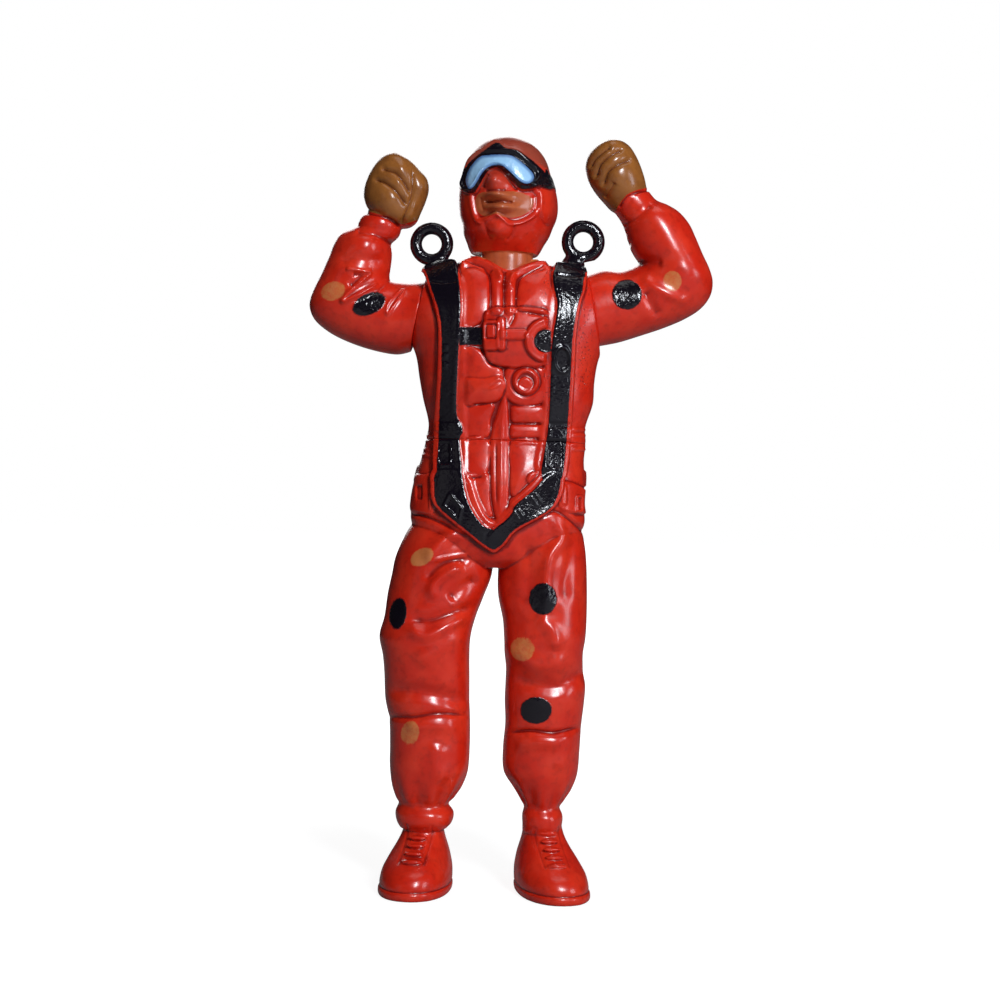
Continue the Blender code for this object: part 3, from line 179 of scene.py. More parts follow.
# Height in shares of the shoe, then half-width, heel and toe reach in shares of its length
SHOE_SECTIONS = (
    (0.000, 0.95, 0.380, 0.590), (0.030, 0.985, 0.390, 0.603), (0.100, 0.99, 0.392, 0.605),
    (0.118, 0.975, 0.386, 0.598), (0.145, 0.97, 0.384, 0.596), (0.24, 0.96, 0.374, 0.584),
    (0.34, 0.93, 0.360, 0.545), (0.44, 0.86, 0.350, 0.470), (0.54, 0.78, 0.325, 0.370),
    (0.64, 0.69, 0.290, 0.280), (0.76, 0.60, 0.235, 0.195), (0.88, 0.545, 0.200, 0.160),
    (1.00, 0.53, 0.190, 0.150),
)

# Lace bars: both ends of their row, forward and up in shares of the shoe, and the half-sizes
# of one, with the edges of the tongue beside them and the line above the sole
LACE_TOP = (0.155, 0.86)
LACE_BOTTOM = (0.42, 0.50)
LACE_COUNT = 5
LACE_BAR = (1.8, 0.80, 0.34)
TONGUE_HALF_WIDTH = 2.35
SOLE_LINE = 1.72

# Height above the hood's base in shares of the head, then half-width, front and back
HEAD_SECTIONS = (
    (0.000, 0.66, 0.55, 0.78), (0.035, 0.71, 0.66, 0.86), (0.09, 0.765, 0.82, 0.92),
    (0.16, 0.845, 0.97, 0.98), (0.24, 0.895, 1.04, 1.04), (0.33, 0.965, 1.07, 1.12),
    (0.43, 0.985, 1.07, 1.18), (0.53, 0.965, 1.06, 1.20), (0.62, 0.905, 1.04, 1.16),
    (0.71, 0.845, 0.99, 1.08), (0.79, 0.785, 0.90, 0.97), (0.86, 0.69, 0.77, 0.82),
    (0.92, 0.55, 0.61, 0.64), (0.965, 0.37, 0.41, 0.42), (0.99, 0.20, 0.22, 0.22),
    (1.00, 0.10, 0.11, 0.11),
)

# Each sleeve from its seam to inside the fist: outer and inner edge on the front sheet, then
# half its depth and how far it stands forward
RIGHT_SLEEVE = (
    (396, 354.5, 414, 283.5, 6.5, 0.0), (373, 350.3, 400, 283, 6.4, 0.0),
    (349.5, 342.5, 391.5, 281.5, 6.3, 0.1), (329.5, 332.5, 390, 279.5, 6.3, 0.2),
    (314.5, 319.5, 389.6, 276.5, 6.2, 0.3), (309.5, 304.5, 389.8, 273, 6.1, 0.5),
    (313.5, 290.5, 390.6, 268.5, 6.0, 0.7), (321.5, 274, 391.5, 262, 6.0, 0.8),
    (329, 257, 392, 255, 5.9, 1.0), (334.5, 243.5, 391.5, 249, 5.6, 1.2),
    (340.5, 234.8, 392, 244.5, 5.0, 1.3), (350, 230.2, 395, 240.5, 4.4, 1.4),
    (357, 227.3, 399, 236, 4.2, 1.4), (358.5, 223, 401, 230.5, 4.3, 1.5),
    (361.5, 217.5, 401, 225.5, 4.2, 1.5), (367, 212.5, 400.5, 221.5, 3.9, 1.6),
    (372, 205, 404, 213, 3.6, 1.7),
)
LEFT_SLEEVE = (
    (618.5, 342.5, 603, 270.8, 6.5, 0.0), (641.5, 335.5, 618.5, 272, 6.4, 0.0),
    (664.5, 327.8, 629.5, 269.3, 6.3, 0.1), (685, 319, 635, 266.5, 6.3, 0.2),
    (700.5, 309, 637, 264.8, 6.2, 0.3), (710, 296.5, 637.6, 263, 6.2, 0.5),
    (712.6, 282.5, 637, 261, 6.1, 0.7), (709, 269.5, 635.8, 258.8, 6.0, 0.8),
    (702, 254.3, 633.5, 254.8, 6.0, 1.0), (695.6, 238.6, 630.3, 248.8, 5.9, 1.2),
    (689, 224.5, 627.6, 241.5, 5.8, 1.3), (679, 212.8, 625.8, 233.5, 5.5, 1.4),
    (668, 206, 623.3, 226.3, 5.0, 1.5), (657.5, 201.5, 620.3, 220.3, 4.4, 1.5),
    (651.6, 195.5, 617.5, 216.2, 4.1, 1.6), (646.5, 188, 614, 211.5, 3.9, 1.7),
    (640, 177, 607, 202, 3.6, 1.7),
)

# Each fist from its wrist to its knuckles, in the same columns
RIGHT_FIST = (
    (376, 215.5, 400, 228.5, 3.2, 1.6), (370, 211, 409.5, 227.5, 4.3, 1.8),
    (366, 205, 416.5, 222.5, 4.9, 2.0), (363.8, 197.5, 420.8, 213.5, 5.2, 2.1),
    (364, 189, 425.8, 201.5, 5.4, 2.2), (366.6, 180, 428.8, 190, 5.4, 2.3),
    (370.6, 171.5, 427, 180, 5.3, 2.3), (375.8, 163.6, 420.8, 171.6, 4.9, 2.2),
    (382.3, 157.4, 412.5, 162.8, 4.2, 2.0), (389.8, 154.3, 402.5, 156.3, 2.6, 1.9),
)
LEFT_FIST = (
    (618, 214, 642, 197, 3.2, 1.7), (611, 210.5, 646, 189, 4.2, 1.8),
    (604.3, 203.4, 645.6, 183.5, 4.8, 2.0), (596.5, 194.3, 644.3, 178, 5.2, 2.1),
    (590.3, 185, 642.2, 171.3, 5.4, 2.2), (586.4, 175.5, 639.2, 163.3, 5.5, 2.2),
    (584.8, 166.3, 635.3, 155.3, 5.4, 2.2), (587, 157.2, 629.8, 147.3, 5.0, 2.1),
    (592.8, 149.5, 622.3, 142.4, 4.3, 2.0), (602, 143.6, 613, 141.2, 2.7, 1.9),
)

# Tan paint of each hand, outlined on the front sheet
RIGHT_HAND = ((340, 200), (360, 207), (368, 211.4), (376, 213.4), (388, 216.8), (396.5, 223.3),
              (403, 224.5), (411, 222), (419, 219.5), (445, 212), (445, 135), (340, 135))
LEFT_HAND = ((565, 216), (600, 217), (613, 213.5), (617, 208.5), (622, 200.5), (627, 194.5),
             (634, 191), (641, 188.9), (648, 187.6), (670, 184), (670, 125), (565, 125))

# Harness on the back: across in trunk half-widths, up in shares of the trunk
BACK_STRAP = ((0.80, 0.985), (0.66, 0.93), (0.52, 0.82), (0.46, 0.70), (0.46, 0.58),
              (0.52, 0.47), (0.56, 0.36))
BACK_LEG_STRAP = ((0.56, 0.38), (0.60, 0.29), (0.52, 0.20), (0.32, 0.12), (0.05, 0.06))
BACK_BELT = ((-1.0, 0.30), (-0.5, 0.32), (0.0, 0.33), (0.5, 0.32), (1.0, 0.30))

# Half-round eye on the chest pack, and painted spots: place, half-width, half-height and tilt
# on the front sheet
PACK_EYE = (545.5, 341, 11.5, 11.5)
SUIT_BLACK_SPOTS = ((398, 613.5, 8.5, 16, 8), (543, 599, 14, 16, 0), (536, 710.5, 16, 13.5, 0))
SUIT_TAN_SPOT = (422, 557, 12.4, 8, -30)
SUIT_THIN_SPOTS = ((522.5, 649, 12, 12, 0), (410, 733, 9, 12, 12))
RIGHT_ARM_SPOTS = ((369, 304, 17.6, 10.5, -25), (333, 291, 12, 9, -20))
LEFT_ARM_SPOTS = ((627, 294.5, 15, 15, 0), (672.5, 281, 9, 10, 0))


# Curves
def hermite(start, end, rise_in, rise_out, part):
    square, cube = part * part, part * part * part
    return ((2 * cube - 3 * square + 1) * start + (cube - 2 * square + part) * rise_in
            + (3 * square - 2 * cube) * end + (cube - square) * rise_out)


def read_table(table, places):
    """Columns of a table at many places of its first column, along smooth curves."""
    rows = np.array(table)
    places = np.clip(places, rows[0, 0], rows[-1, 0])
    at = np.clip(np.searchsorted(rows[:, 0], places) - 1, 0, len(rows) - 2)
    before, start = rows[np.maximum(at - 1, 0)], rows[at]
    end, after = rows[at + 1], rows[np.minimum(at + 2, len(rows) - 1)]
    span = end[:, :1] - start[:, :1]
    part = (places[:, None] - start[:, :1]) / span
    rise_in = (end - before) / (end[:, :1] - before[:, :1]) * span
    rise_out = (after - start) / (after[:, :1] - start[:, :1]) * span
    return hermite(start, end, rise_in, rise_out, part)[:, 1:]


def eased(points, steps=5, closed=False):
    """Smooth path through points."""
    knots = np.array(points, float)
    count = len(knots)
    path = []
    for index in range(count if closed else count - 1):
        if closed:
            before, start, end, after = (knots[(index + k) % count] for k in (-1, 0, 1, 2))
        else:
            before, start = knots[max(index - 1, 0)], knots[index]
            end, after = knots[index + 1], knots[min(index + 2, count - 1)]
        for step in range(steps):
            path.append(hermite(start, end, (end - before) / 2, (after - start) / 2,
                                step / steps))
    if not closed:
        path.append(knots[-1])
    return np.array(path)


def ease(values, low, high):
    """Smooth step from 0 at the low value to 1 at the high one."""
    part = np.clip((values - low) / (high - low), 0, 1)
    return part * part * (3 - 2 * part)


# The front sheet
def to_sheet(points):
    """Where points of the figure fall on the front sheet."""
    near = EYE_DISTANCE / (EYE_DISTANCE + points[:, 1])
    across, up = points[:, 0] * near, (points[:, 2] - EYE_HEIGHT) * near
    right = across * math.cos(SHEET_LEAN) + up * math.sin(SHEET_LEAN)
    high = up * math.cos(SHEET_LEAN) - across * math.sin(SHEET_LEAN)
    return SHEET_MIDDLE + np.stack((right, -high), axis=1) / SHEET_STEP


def from_sheet(x, y, depth=0.0):
    """Point of the figure at a place of the front sheet and a depth."""
    right, high = (x - SHEET_MIDDLE) * SHEET_STEP, (SHEET_MIDDLE - y) * SHEET_STEP
    far = (EYE_DISTANCE + depth) / EYE_DISTANCE
    across = right * math.cos(SHEET_LEAN) - high * math.sin(SHEET_LEAN)
    up = right * math.sin(SHEET_LEAN) + high * math.cos(SHEET_LEAN)
    return Vector((across * far, depth, EYE_HEIGHT + up * far))


# Solids
def ovals(centres, half_widths, fronts, backs, squareness, around):
    """Level superellipses, one to a row, as an array of rows, points and coordinates."""
    angles = 2 * math.pi * (np.arange(around) + 0.5) / around
    across, along = np.cos(angles), np.sin(angles)
    power = 2 / squareness
    across = np.sign(across) * np.abs(across) ** power
    along = np.sign(along) * np.abs(along) ** power
    reach = np.where(along > 0, backs[:, None], fronts[:, None])
    x = centres[:, :1] + half_widths[:, None] * across
    y = centres[:, 1:2] + reach * along
    z = np.broadcast_to(centres[:, 2:3], x.shape)
    return np.stack((x, y, z), axis=2)


def skin(rings):
    """Closed solid: a grid rolled through rows of points, sewn up and capped."""
    rows, around = rings.shape[:2]
    shape = bmesh.new()
    bmesh.ops.create_grid(shape, x_segments=around, y_segments=rows - 1, size=1)
    for vertex in shape.verts:
        column = round((vertex.co.x + 1) / 2 * around) % around
        row = round((vertex.co.y + 1) / 2 * (rows - 1))
        vertex.co = rings[row, column]
    bmesh.ops.remove_doubles(shape, verts=shape.verts, dist=WELD)
    bmesh.ops.holes_fill(shape, edges=shape.edges, sides=0)
    bmesh.ops.recalc_face_normals(shape, faces=shape.faces)
    return shape


def ball(centre, size):
    """Ellipsoid."""
    shape = bmesh.new()
    bmesh.ops.create_icosphere(shape, subdivisions=5, radius=1)
    shape.transform(Matrix.Translation(centre) @ Matrix.Diagonal((*size, 1)))
    return shape


def ring(centre, radius, wire):
    """Round ring whose hole faces the front."""
    shape = bmesh.new()
    bmesh.ops.create_circle(shape, segments=24, radius=wire,
                            matrix=Matrix.Translation((radius, 0, 0))
                            @ Matrix.Rotation(math.pi / 2, 4, "X"))
    bmesh.ops.spin(shape, geom=shape.verts[:] + shape.edges[:], cent=(0, 0, 0),
                   axis=(0, 0, 1), angle=2 * math.pi, steps=64, use_merge=True)
    bmesh.ops.recalc_face_normals(shape, faces=shape.faces)
    shape.transform(Matrix.Translation(Vector(centre)) @ Matrix.Rotation(math.pi / 2, 4, "X"))
    return shape


def cut(shape, point, normal, below=True):
    """Keep what lies below a plane, or else above it, and close the solid again."""
    bmesh.ops.bisect_plane(shape, geom=shape.verts[:] + shape.edges[:] + shape.faces[:],
                           plane_co=point, plane_no=normal,
                           clear_inner=not below, clear_outer=below)
    bmesh.ops.holes_fill(shape, edges=shape.edges, sides=0)


def mesh_of(name, shape):
    """Mesh of a solid, which is freed."""
    mesh = bpy.data.meshes.new(name)
    shape.to_mesh(mesh)
    shape.free()
    return mesh


def add(name, data):
    """Object in the scene for a mesh, a lamp or a camera."""
    thing = bpy.data.objects.new(name, data)
    bpy.context.scene.collection.objects.link(thing)
    return thing


def cast(name, shapes, voxel, rounds=4):
    """One evenly meshed skin round overlapping solids, in millimetres."""
    whole = bmesh.new()
    for shape in shapes:
        mesh = mesh_of("solid", shape)
        whole.from_mesh(mesh)
        bpy.data.meshes.remove(mesh)
    piece = add(name, mesh_of(name, whole))
    modifier = piece.modifiers.new("skin", "REMESH")
    modifier.mode = "VOXEL"
    modifier.voxel_size = voxel
    modifier = piece.modifiers.new("ease", "SMOOTH")
    modifier.iterations = rounds
    modifier.factor = 0.5
    bake(piece)
    return piece


def bake(piece):
    """Apply a piece's modifiers to its mesh."""
    bpy.context.view_layer.update()
    seen = piece.evaluated_get(bpy.context.evaluated_depsgraph_get())
    old = piece.data
    piece.data = bpy.data.meshes.new_from_object(seen)
    piece.modifiers.clear()
    bpy.data.meshes.remove(old)


def thin_out(piece):
    """Bring a piece down to a set number of triangles at most."""
    piece.data.calc_loop_triangles()
    share = MOST_TRIANGLES / len(piece.data.loop_triangles)
    if share < 1:
        modifier = piece.modifiers.new("thin", "DECIMATE")
        modifier.ratio = share
        bake(piece)


def places(mesh):
    """Positions and normals of a mesh's points."""
    count = len(mesh.vertices)
    points, normals = np.empty(count * 3), np.empty(count * 3)
    mesh.vertices.foreach_get("co", points)
    mesh.vertex_normals.foreach_get("vector", normals)
    return points.reshape(-1, 3), normals.reshape(-1, 3)


def neighbour_mean(mesh, values, rounds):
    """Values averaged again and again over neighbouring points."""
    edges = np.empty(len(mesh.edges) * 2, int)
    mesh.edges.foreach_get("vertices", edges)
    first, second = edges[0::2], edges[1::2]
    count = len(mesh.vertices)
    links = np.maximum(np.bincount(edges, minlength=count), 1)
    for _ in range(rounds):
        total = (np.bincount(first, weights=values[second], minlength=count)
                 + np.bincount(second, weights=values[first], minlength=count))
        values = (values + total / links) / 2
    return values


def hollows(mesh):
    """How far each point lies below its surroundings, in millimetres."""
    points, normals = places(mesh)
    around = np.stack([neighbour_mean(mesh, points[:, axis], 14) for axis in range(3)], axis=1)
    return np.einsum("ij,ij->i", around - points, normals)


# Distances on a sheet, positive inside and in steps of the sheet
def to_path(at, path, closed=False, margin=40):
    """Distance from places to a path, and how far along the path each falls, from 0 to 1."""
    path = np.asarray(path, float)
    ends = np.roll(path, -1, axis=0) if closed else path[1:]
    starts = path if closed else path[:-1]
    low, high = path.min(axis=0) - margin, path.max(axis=0) + margin
    near = np.nonzero(((at > low) & (at < high)).all(axis=1))[0]
    distance, along = np.full(len(at), 1e3), np.zeros(len(at))
    best, where = np.full(len(near), 1e6), np.zeros(len(near))
    lengths = np.linalg.norm(ends - starts, axis=1)
    total, passed = max(lengths.sum(), 1e-9), 0.0
    here = at[near]
    for start, end, length in zip(starts, ends, lengths):
        line = end - start
        part = np.clip(((here - start) @ line) / max(length ** 2, 1e-9), 0, 1)
        gap = np.linalg.norm(here - start - part[:, None] * line, axis=1)
        closer = gap < best
        best = np.where(closer, gap, best)
        where = np.where(closer, (passed + part * length) / total, where)
        passed += length
    distance[near], along[near] = best, where
    return distance, along


def in_outline(at, points, smooth=True):
    """Signed distance to a closed outline."""
    path = eased(points, 4, True) if smooth else np.asarray(points, float)
    distance, _ = to_path(at, path, True)
    inside = np.zeros(len(at), bool)
    low, high = path.min(axis=0), path.max(axis=0)
    near = np.nonzero(((at > low) & (at < high)).all(axis=1))[0]
    x, y = at[near, 0], at[near, 1]
    odd = np.zeros(len(near), bool)
    for (x0, y0), (x1, y1) in zip(path, np.roll(path, -1, axis=0)):
        if y0 != y1:
            crosses = ((y0 > y) != (y1 > y)) & (x < (x1 - x0) * (y - y0) / (y1 - y0) + x0)
            odd ^= crosses
    inside[near] = odd
    return np.where(inside, distance, -distance)


def in_box(at, left, top, right, bottom, corner=2.0):
    """Signed distance to a box with rounded corners."""
    half = np.array(((right - left) / 2, (bottom - top) / 2))
    middle = np.array(((left + right) / 2, (top + bottom) / 2))
    over = np.abs(at - middle) - half + corner
    outside = np.linalg.norm(np.maximum(over, 0), axis=1)
    return corner - outside - np.minimum(over.max(axis=1), 0)


def in_oval(at, x, y, half_width, half_height, tilt=0.0):
    """Signed distance to an oval, near enough, tilted clockwise by some degrees."""
    turn = math.radians(tilt)
    across = (at[:, 0] - x) * math.cos(turn) + (at[:, 1] - y) * math.sin(turn)
    down = (at[:, 1] - y) * math.cos(turn) - (at[:, 0] - x) * math.sin(turn)
    reach = np.hypot(across / half_width, down / half_height)
    return (1 - reach) * min(half_width, half_height)


class Relief:
    """Height laid over a skin, in millimetres, from shapes on a sheet."""

    def __init__(self, at, share):
        self.at = at
        self.share = share
        self.height = np.zeros(len(at))

    def raised(self, inside, lift, edge=2.2, puff=0.0, soft=8.0):
        """Pad that stands up from what lies under it, and may swell inwards."""
        level = ease(inside, -edge / 2, edge / 2)
        swell = puff * (1 - np.exp(-np.maximum(inside, 0) / soft))
        self.height += self.share * level * (lift + swell)

    def pad(self, points, lift, edge=2.2, puff=0.0, soft=8.0):
        """Raised pad within an outline."""
        self.raised(in_outline(self.at, points), lift, edge, puff, soft)

    def up_to(self, inside, lift, edge=2.2):
        """Pad whose top is at a level of its own, whatever lies under it."""
        level = self.share * ease(inside, -edge / 2, edge / 2)
        self.height = self.height * (1 - level) + lift * level

    def line(self, points, lift, width=1.6, taper=0.18, closed=False, smooth=True):
        """Ridge along a line, or a groove where the lift is negative."""
        path = eased(points, 5, closed) if smooth else np.asarray(points, float)
        distance, along = to_path(self.at, path, closed, width * 3.5)
        ends = 1.0 if closed or not taper else ease(np.minimum(along, 1 - along), 0, taper)
        self.height += self.share * lift * np.exp(-(distance / width) ** 2) * ends

    def crease(self, points, lift, width=1.6, closed=False):
        """Sharp fold along a line with rounded flanks."""
        path = eased(points, 5, closed)
        distance, along = to_path(self.at, path, closed, width * 6)
        ends = 1.0 if closed else ease(np.minimum(along, 1 - along), 0, 0.12)
        self.height += self.share * lift * np.exp(-distance / width) * ends

    def rim(self, inside, lift, width=1.4, inset=0.0):
        """Ridge or groove that follows an outline."""
        self.height += self.share * lift * np.exp(-((inside - inset) / width) ** 2)

    def bulge(self, x, y, half_width, half_height, lift, tilt=0.0):
        """Soft mound."""
        inside = in_oval(self.at, x, y, half_width, half_height, tilt)
        reach = 1 - inside / min(half_width, half_height)
        self.height += self.share * lift * np.exp(-(reach ** 2) * 1.6)


def move(piece, points):
    piece.data.vertices.foreach_set("co", points.ravel())
    piece.data.update()


def unpainted(points):
    """Distances inside a paint that is nowhere."""
    return np.full(len(points), NOT_PAINTED)


def painted(paint, inside, where):
    """A paint with one more place, that is painted only where it may be."""
    return np.maximum(paint, np.where(where, inside, NOT_PAINTED))


def write_fields(piece, **fields):
    """Values at a piece's points, for its finish."""
    nothing = {"lens": NOT_PAINTED, "spray": 0.0, "faded": 0.0, "pale": 0.0}
    for name, values in (nothing | fields).items():
        layer = piece.data.attributes.new(name, "FLOAT", "POINT")
        values = np.broadcast_to(values, len(layer.data))
        layer.data.foreach_set("value", values.astype(np.float32))


def set_down(piece, body, node, finish):
    """Bring a finished piece to metres in the frame, and hang it on its body."""
    piece.data.transform(Matrix.Translation((NECK[0], NECK[1], 0))
                         @ Matrix.Scale(MILLIMETRE, 4))
    piece.data.shade_smooth()
    piece.data.materials.clear()
    piece.data.materials.append(finish)
    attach(piece, body)
    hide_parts(node)


# Shoulders
def shoulder_point(side):
    return Vector((side * SHOULDER_SPREAD, 0, SHOULDER + side * SHOULDER_RISE))


def shoulder_axis(side):
    return Vector((side * math.cos(SHOULDER_TILT), 0, math.sin(SHOULDER_TILT)))


def past_seam(points, side):
    """How far points stand out past a shoulder's seam, which are near it, and its axis."""
    axis, origin = np.array(shoulder_axis(side)), np.array(shoulder_point(side))
    near = np.linalg.norm(points - origin, axis=1) < SEAM_REACH
    return (points - origin) @ axis, near, axis


# Trunk, legs and shoes
def trunk_solid():
    """Trunk up to the top of its collar, open in a V at the throat and flat at the shoulders."""
    heights = np.linspace(CROTCH, COLLAR_TOP, 200)
    columns = read_table(TRUNK_SECTIONS, (heights - CROTCH) / TRUNK_LENGTH)
    centres = np.stack((columns[:, 0] * TRUNK_HALF_WIDTH, heights * 0, heights), axis=1)
    rings = ovals(centres, columns[:, 1] * TRUNK_HALF_WIDTH, columns[:, 2] * TRUNK_HALF_DEPTH,
                  columns[:, 3] * TRUNK_HALF_DEPTH, 2.5, 180)
    half_opening = np.maximum(heights - THROAT_BASE, 0)[:, None] * THROAT_SPREAD
    throat = ease(half_opening - np.abs(rings[:, :, 0] - 0.4), -0.25, 0.45)
    throat *= (half_opening > 0) & (rings[:, :, 1] < 0)
    rings[:, :, 1] = rings[:, :, 1] * (1 - throat) - NECK_RADIUS / 3 * throat
    shape = skin(rings)
    for side in SIDES:
        cut(shape, shoulder_point(side), shoulder_axis(side))
    return shape


def leg_rows(table, shares):
    """Centres, half-widths and half-depths of a leg at shares of the crotch height."""
    columns = read_table(table, shares)
    centres = np.stack((columns[:, 0] * TRUNK_HALF_WIDTH, columns[:, 3] * LEG_HALF_WIDTH,
                        shares * CROTCH), axis=1)
    return centres, columns[:, 1] * LEG_HALF_WIDTH, columns[:, 2] * LEG_HALF_WIDTH


def leg_solid(table):
    centres, half_widths, half_depths = leg_rows(
        table, np.linspace(LEG_FOOT, LEG_TOP, 170))
    return skin(ovals(centres, half_widths, half_depths, half_depths, 2.2, 96))


def shoe_place(table, turn, spread):
    """Where a shoe stands: under its leg's ankle, turned out and leaning in."""
    centres, _, _ = leg_rows(table, np.array([ANKLE]))
    lean = Matrix.Identity(4)
    lean[0][2], lean[0][3] = -spread / SHOE_HEIGHT, spread
    return (Matrix.Translation((centres[0, 0], centres[0, 1], 0))
            @ Matrix.Rotation(turn, 4, "Z") @ lean)


def shoe_solids(table, turn, spread):
    """Laced shoe: the upper on its sole, and a row of lace bars down the instep."""
    heights = np.linspace(0, 1, 80)
    columns = read_table(SHOE_SECTIONS, heights)
    middles = SHOE_LENGTH * (columns[:, 1] - columns[:, 2]) / 2
    reach = SHOE_LENGTH * (columns[:, 1] + columns[:, 2]) / 2
    centres = np.stack((heights * 0, middles, heights * SHOE_HEIGHT), axis=1)
    rings = ovals(centres, columns[:, 0] * SHOE_HALF_WIDTH, reach, reach, 2.2, 96)
    forward = (middles[:, None] - rings[:, :, 1]) / reach[:, None]
    rings[:, :, 0] *= 1 + SHOE_FLARE * forward
    upper = skin(rings)
    bars = []
    for index in range(LACE_COUNT):
        part = index / (LACE_COUNT - 1)
        forward = LACE_TOP[0] + (LACE_BOTTOM[0] - LACE_TOP[0]) * part
        height = LACE_TOP[1] + (LACE_BOTTOM[1] - LACE_TOP[1]) * part
        bars.append(ball((0, -forward * SHOE_LENGTH, height * SHOE_HEIGHT), LACE_BAR))
    for shape in (upper, *bars):
        shape.transform(shoe_place(table, turn, spread))
        yield shape


def ring_centre(side):
    return np.array((side * RING_SPREAD, -RING_FORWARD, RING_HEIGHT + side * RING_RISE))


def ring_solids(side):
    """Standing ring for the canopy lines on the tab that carries it."""
    centre = Vector(ring_centre(side))
    yield ring(centre, RING_RADIUS, RING_WIRE)
    table = np.array(RING_TAB_SECTIONS) * RING_RADIUS
    centres = np.stack((side * (RING_SPREAD - table[:, 1]), table[:, 0] * 0 - RING_FORWARD,
                        centre.z - table[:, 0]), axis=1)
    yield skin(ovals(centres, table[:, 2], table[:, 3], table[:, 3], 2.4, 48))


# Straps of the harness: the paint of each, and the wider ground that it lies on
STRAPS = (
    ((424, 262), (427, 276), (432, 292), (438, 310), (441, 330), (441, 370), (439, 411),
     (438, 440), (438, 480), (461, 480), (460, 441), (463, 433), (462, 424), (457, 412),
     (458, 370), (460, 330), (461, 305), (459, 279), (453, 262)),
    ((566, 258), (553, 272), (554, 290), (557, 307), (552, 340), (550, 380), (549, 411),
     (546, 440), (541, 470), (545, 482), (560, 480), (564, 470), (567, 440), (569, 411),
     (571, 380), (573, 340), (578, 307), (583, 290), (586, 273), (600, 262)),
    ((436, 472), (434, 488), (435, 500), (442, 511), (469, 533), (484, 545), (495, 550),
     (499, 540), (494, 530), (483, 525), (471, 508), (465, 490), (463, 477), (458, 470)),
    ((560, 470), (560, 489), (553, 506), (542, 515), (515, 530), (503, 544), (493, 550),
     (487, 540), (494, 529), (505, 520), (512, 512), (515, 505), (534, 489), (544, 478)),
)
STRAP_INSIDES = (
    ((436, 300), (442, 330), (440, 411), (440, 478), (462, 478), (466, 468), (466, 420),
     (465, 330), (464, 285), (452, 280)),
    ((560, 285), (549, 300), (547, 340), (544, 380), (543, 411), (540, 440), (537, 470),
     (560, 478), (566, 440), (571, 340)),
    ((440, 478), (445, 510), (470, 530), (495, 546), (500, 530), (494, 523), (487, 518),
     (478, 503), (473, 487), (469, 477), (458, 473)),
    ((556, 476), (552, 500), (515, 527), (495, 546), (488, 532), (494, 524), (505, 514),
     (510, 506), (513, 500), (530, 485), (541, 474)),
)


def to_band(at, shares, side=1):
    """Distance to a band of the back, in millimetres."""
    path = [(side * across * TRUNK_HALF_WIDTH, CROTCH + up * TRUNK_LENGTH)
            for across, up in shares]
    return to_path(at, eased(path), False, 6)[0]


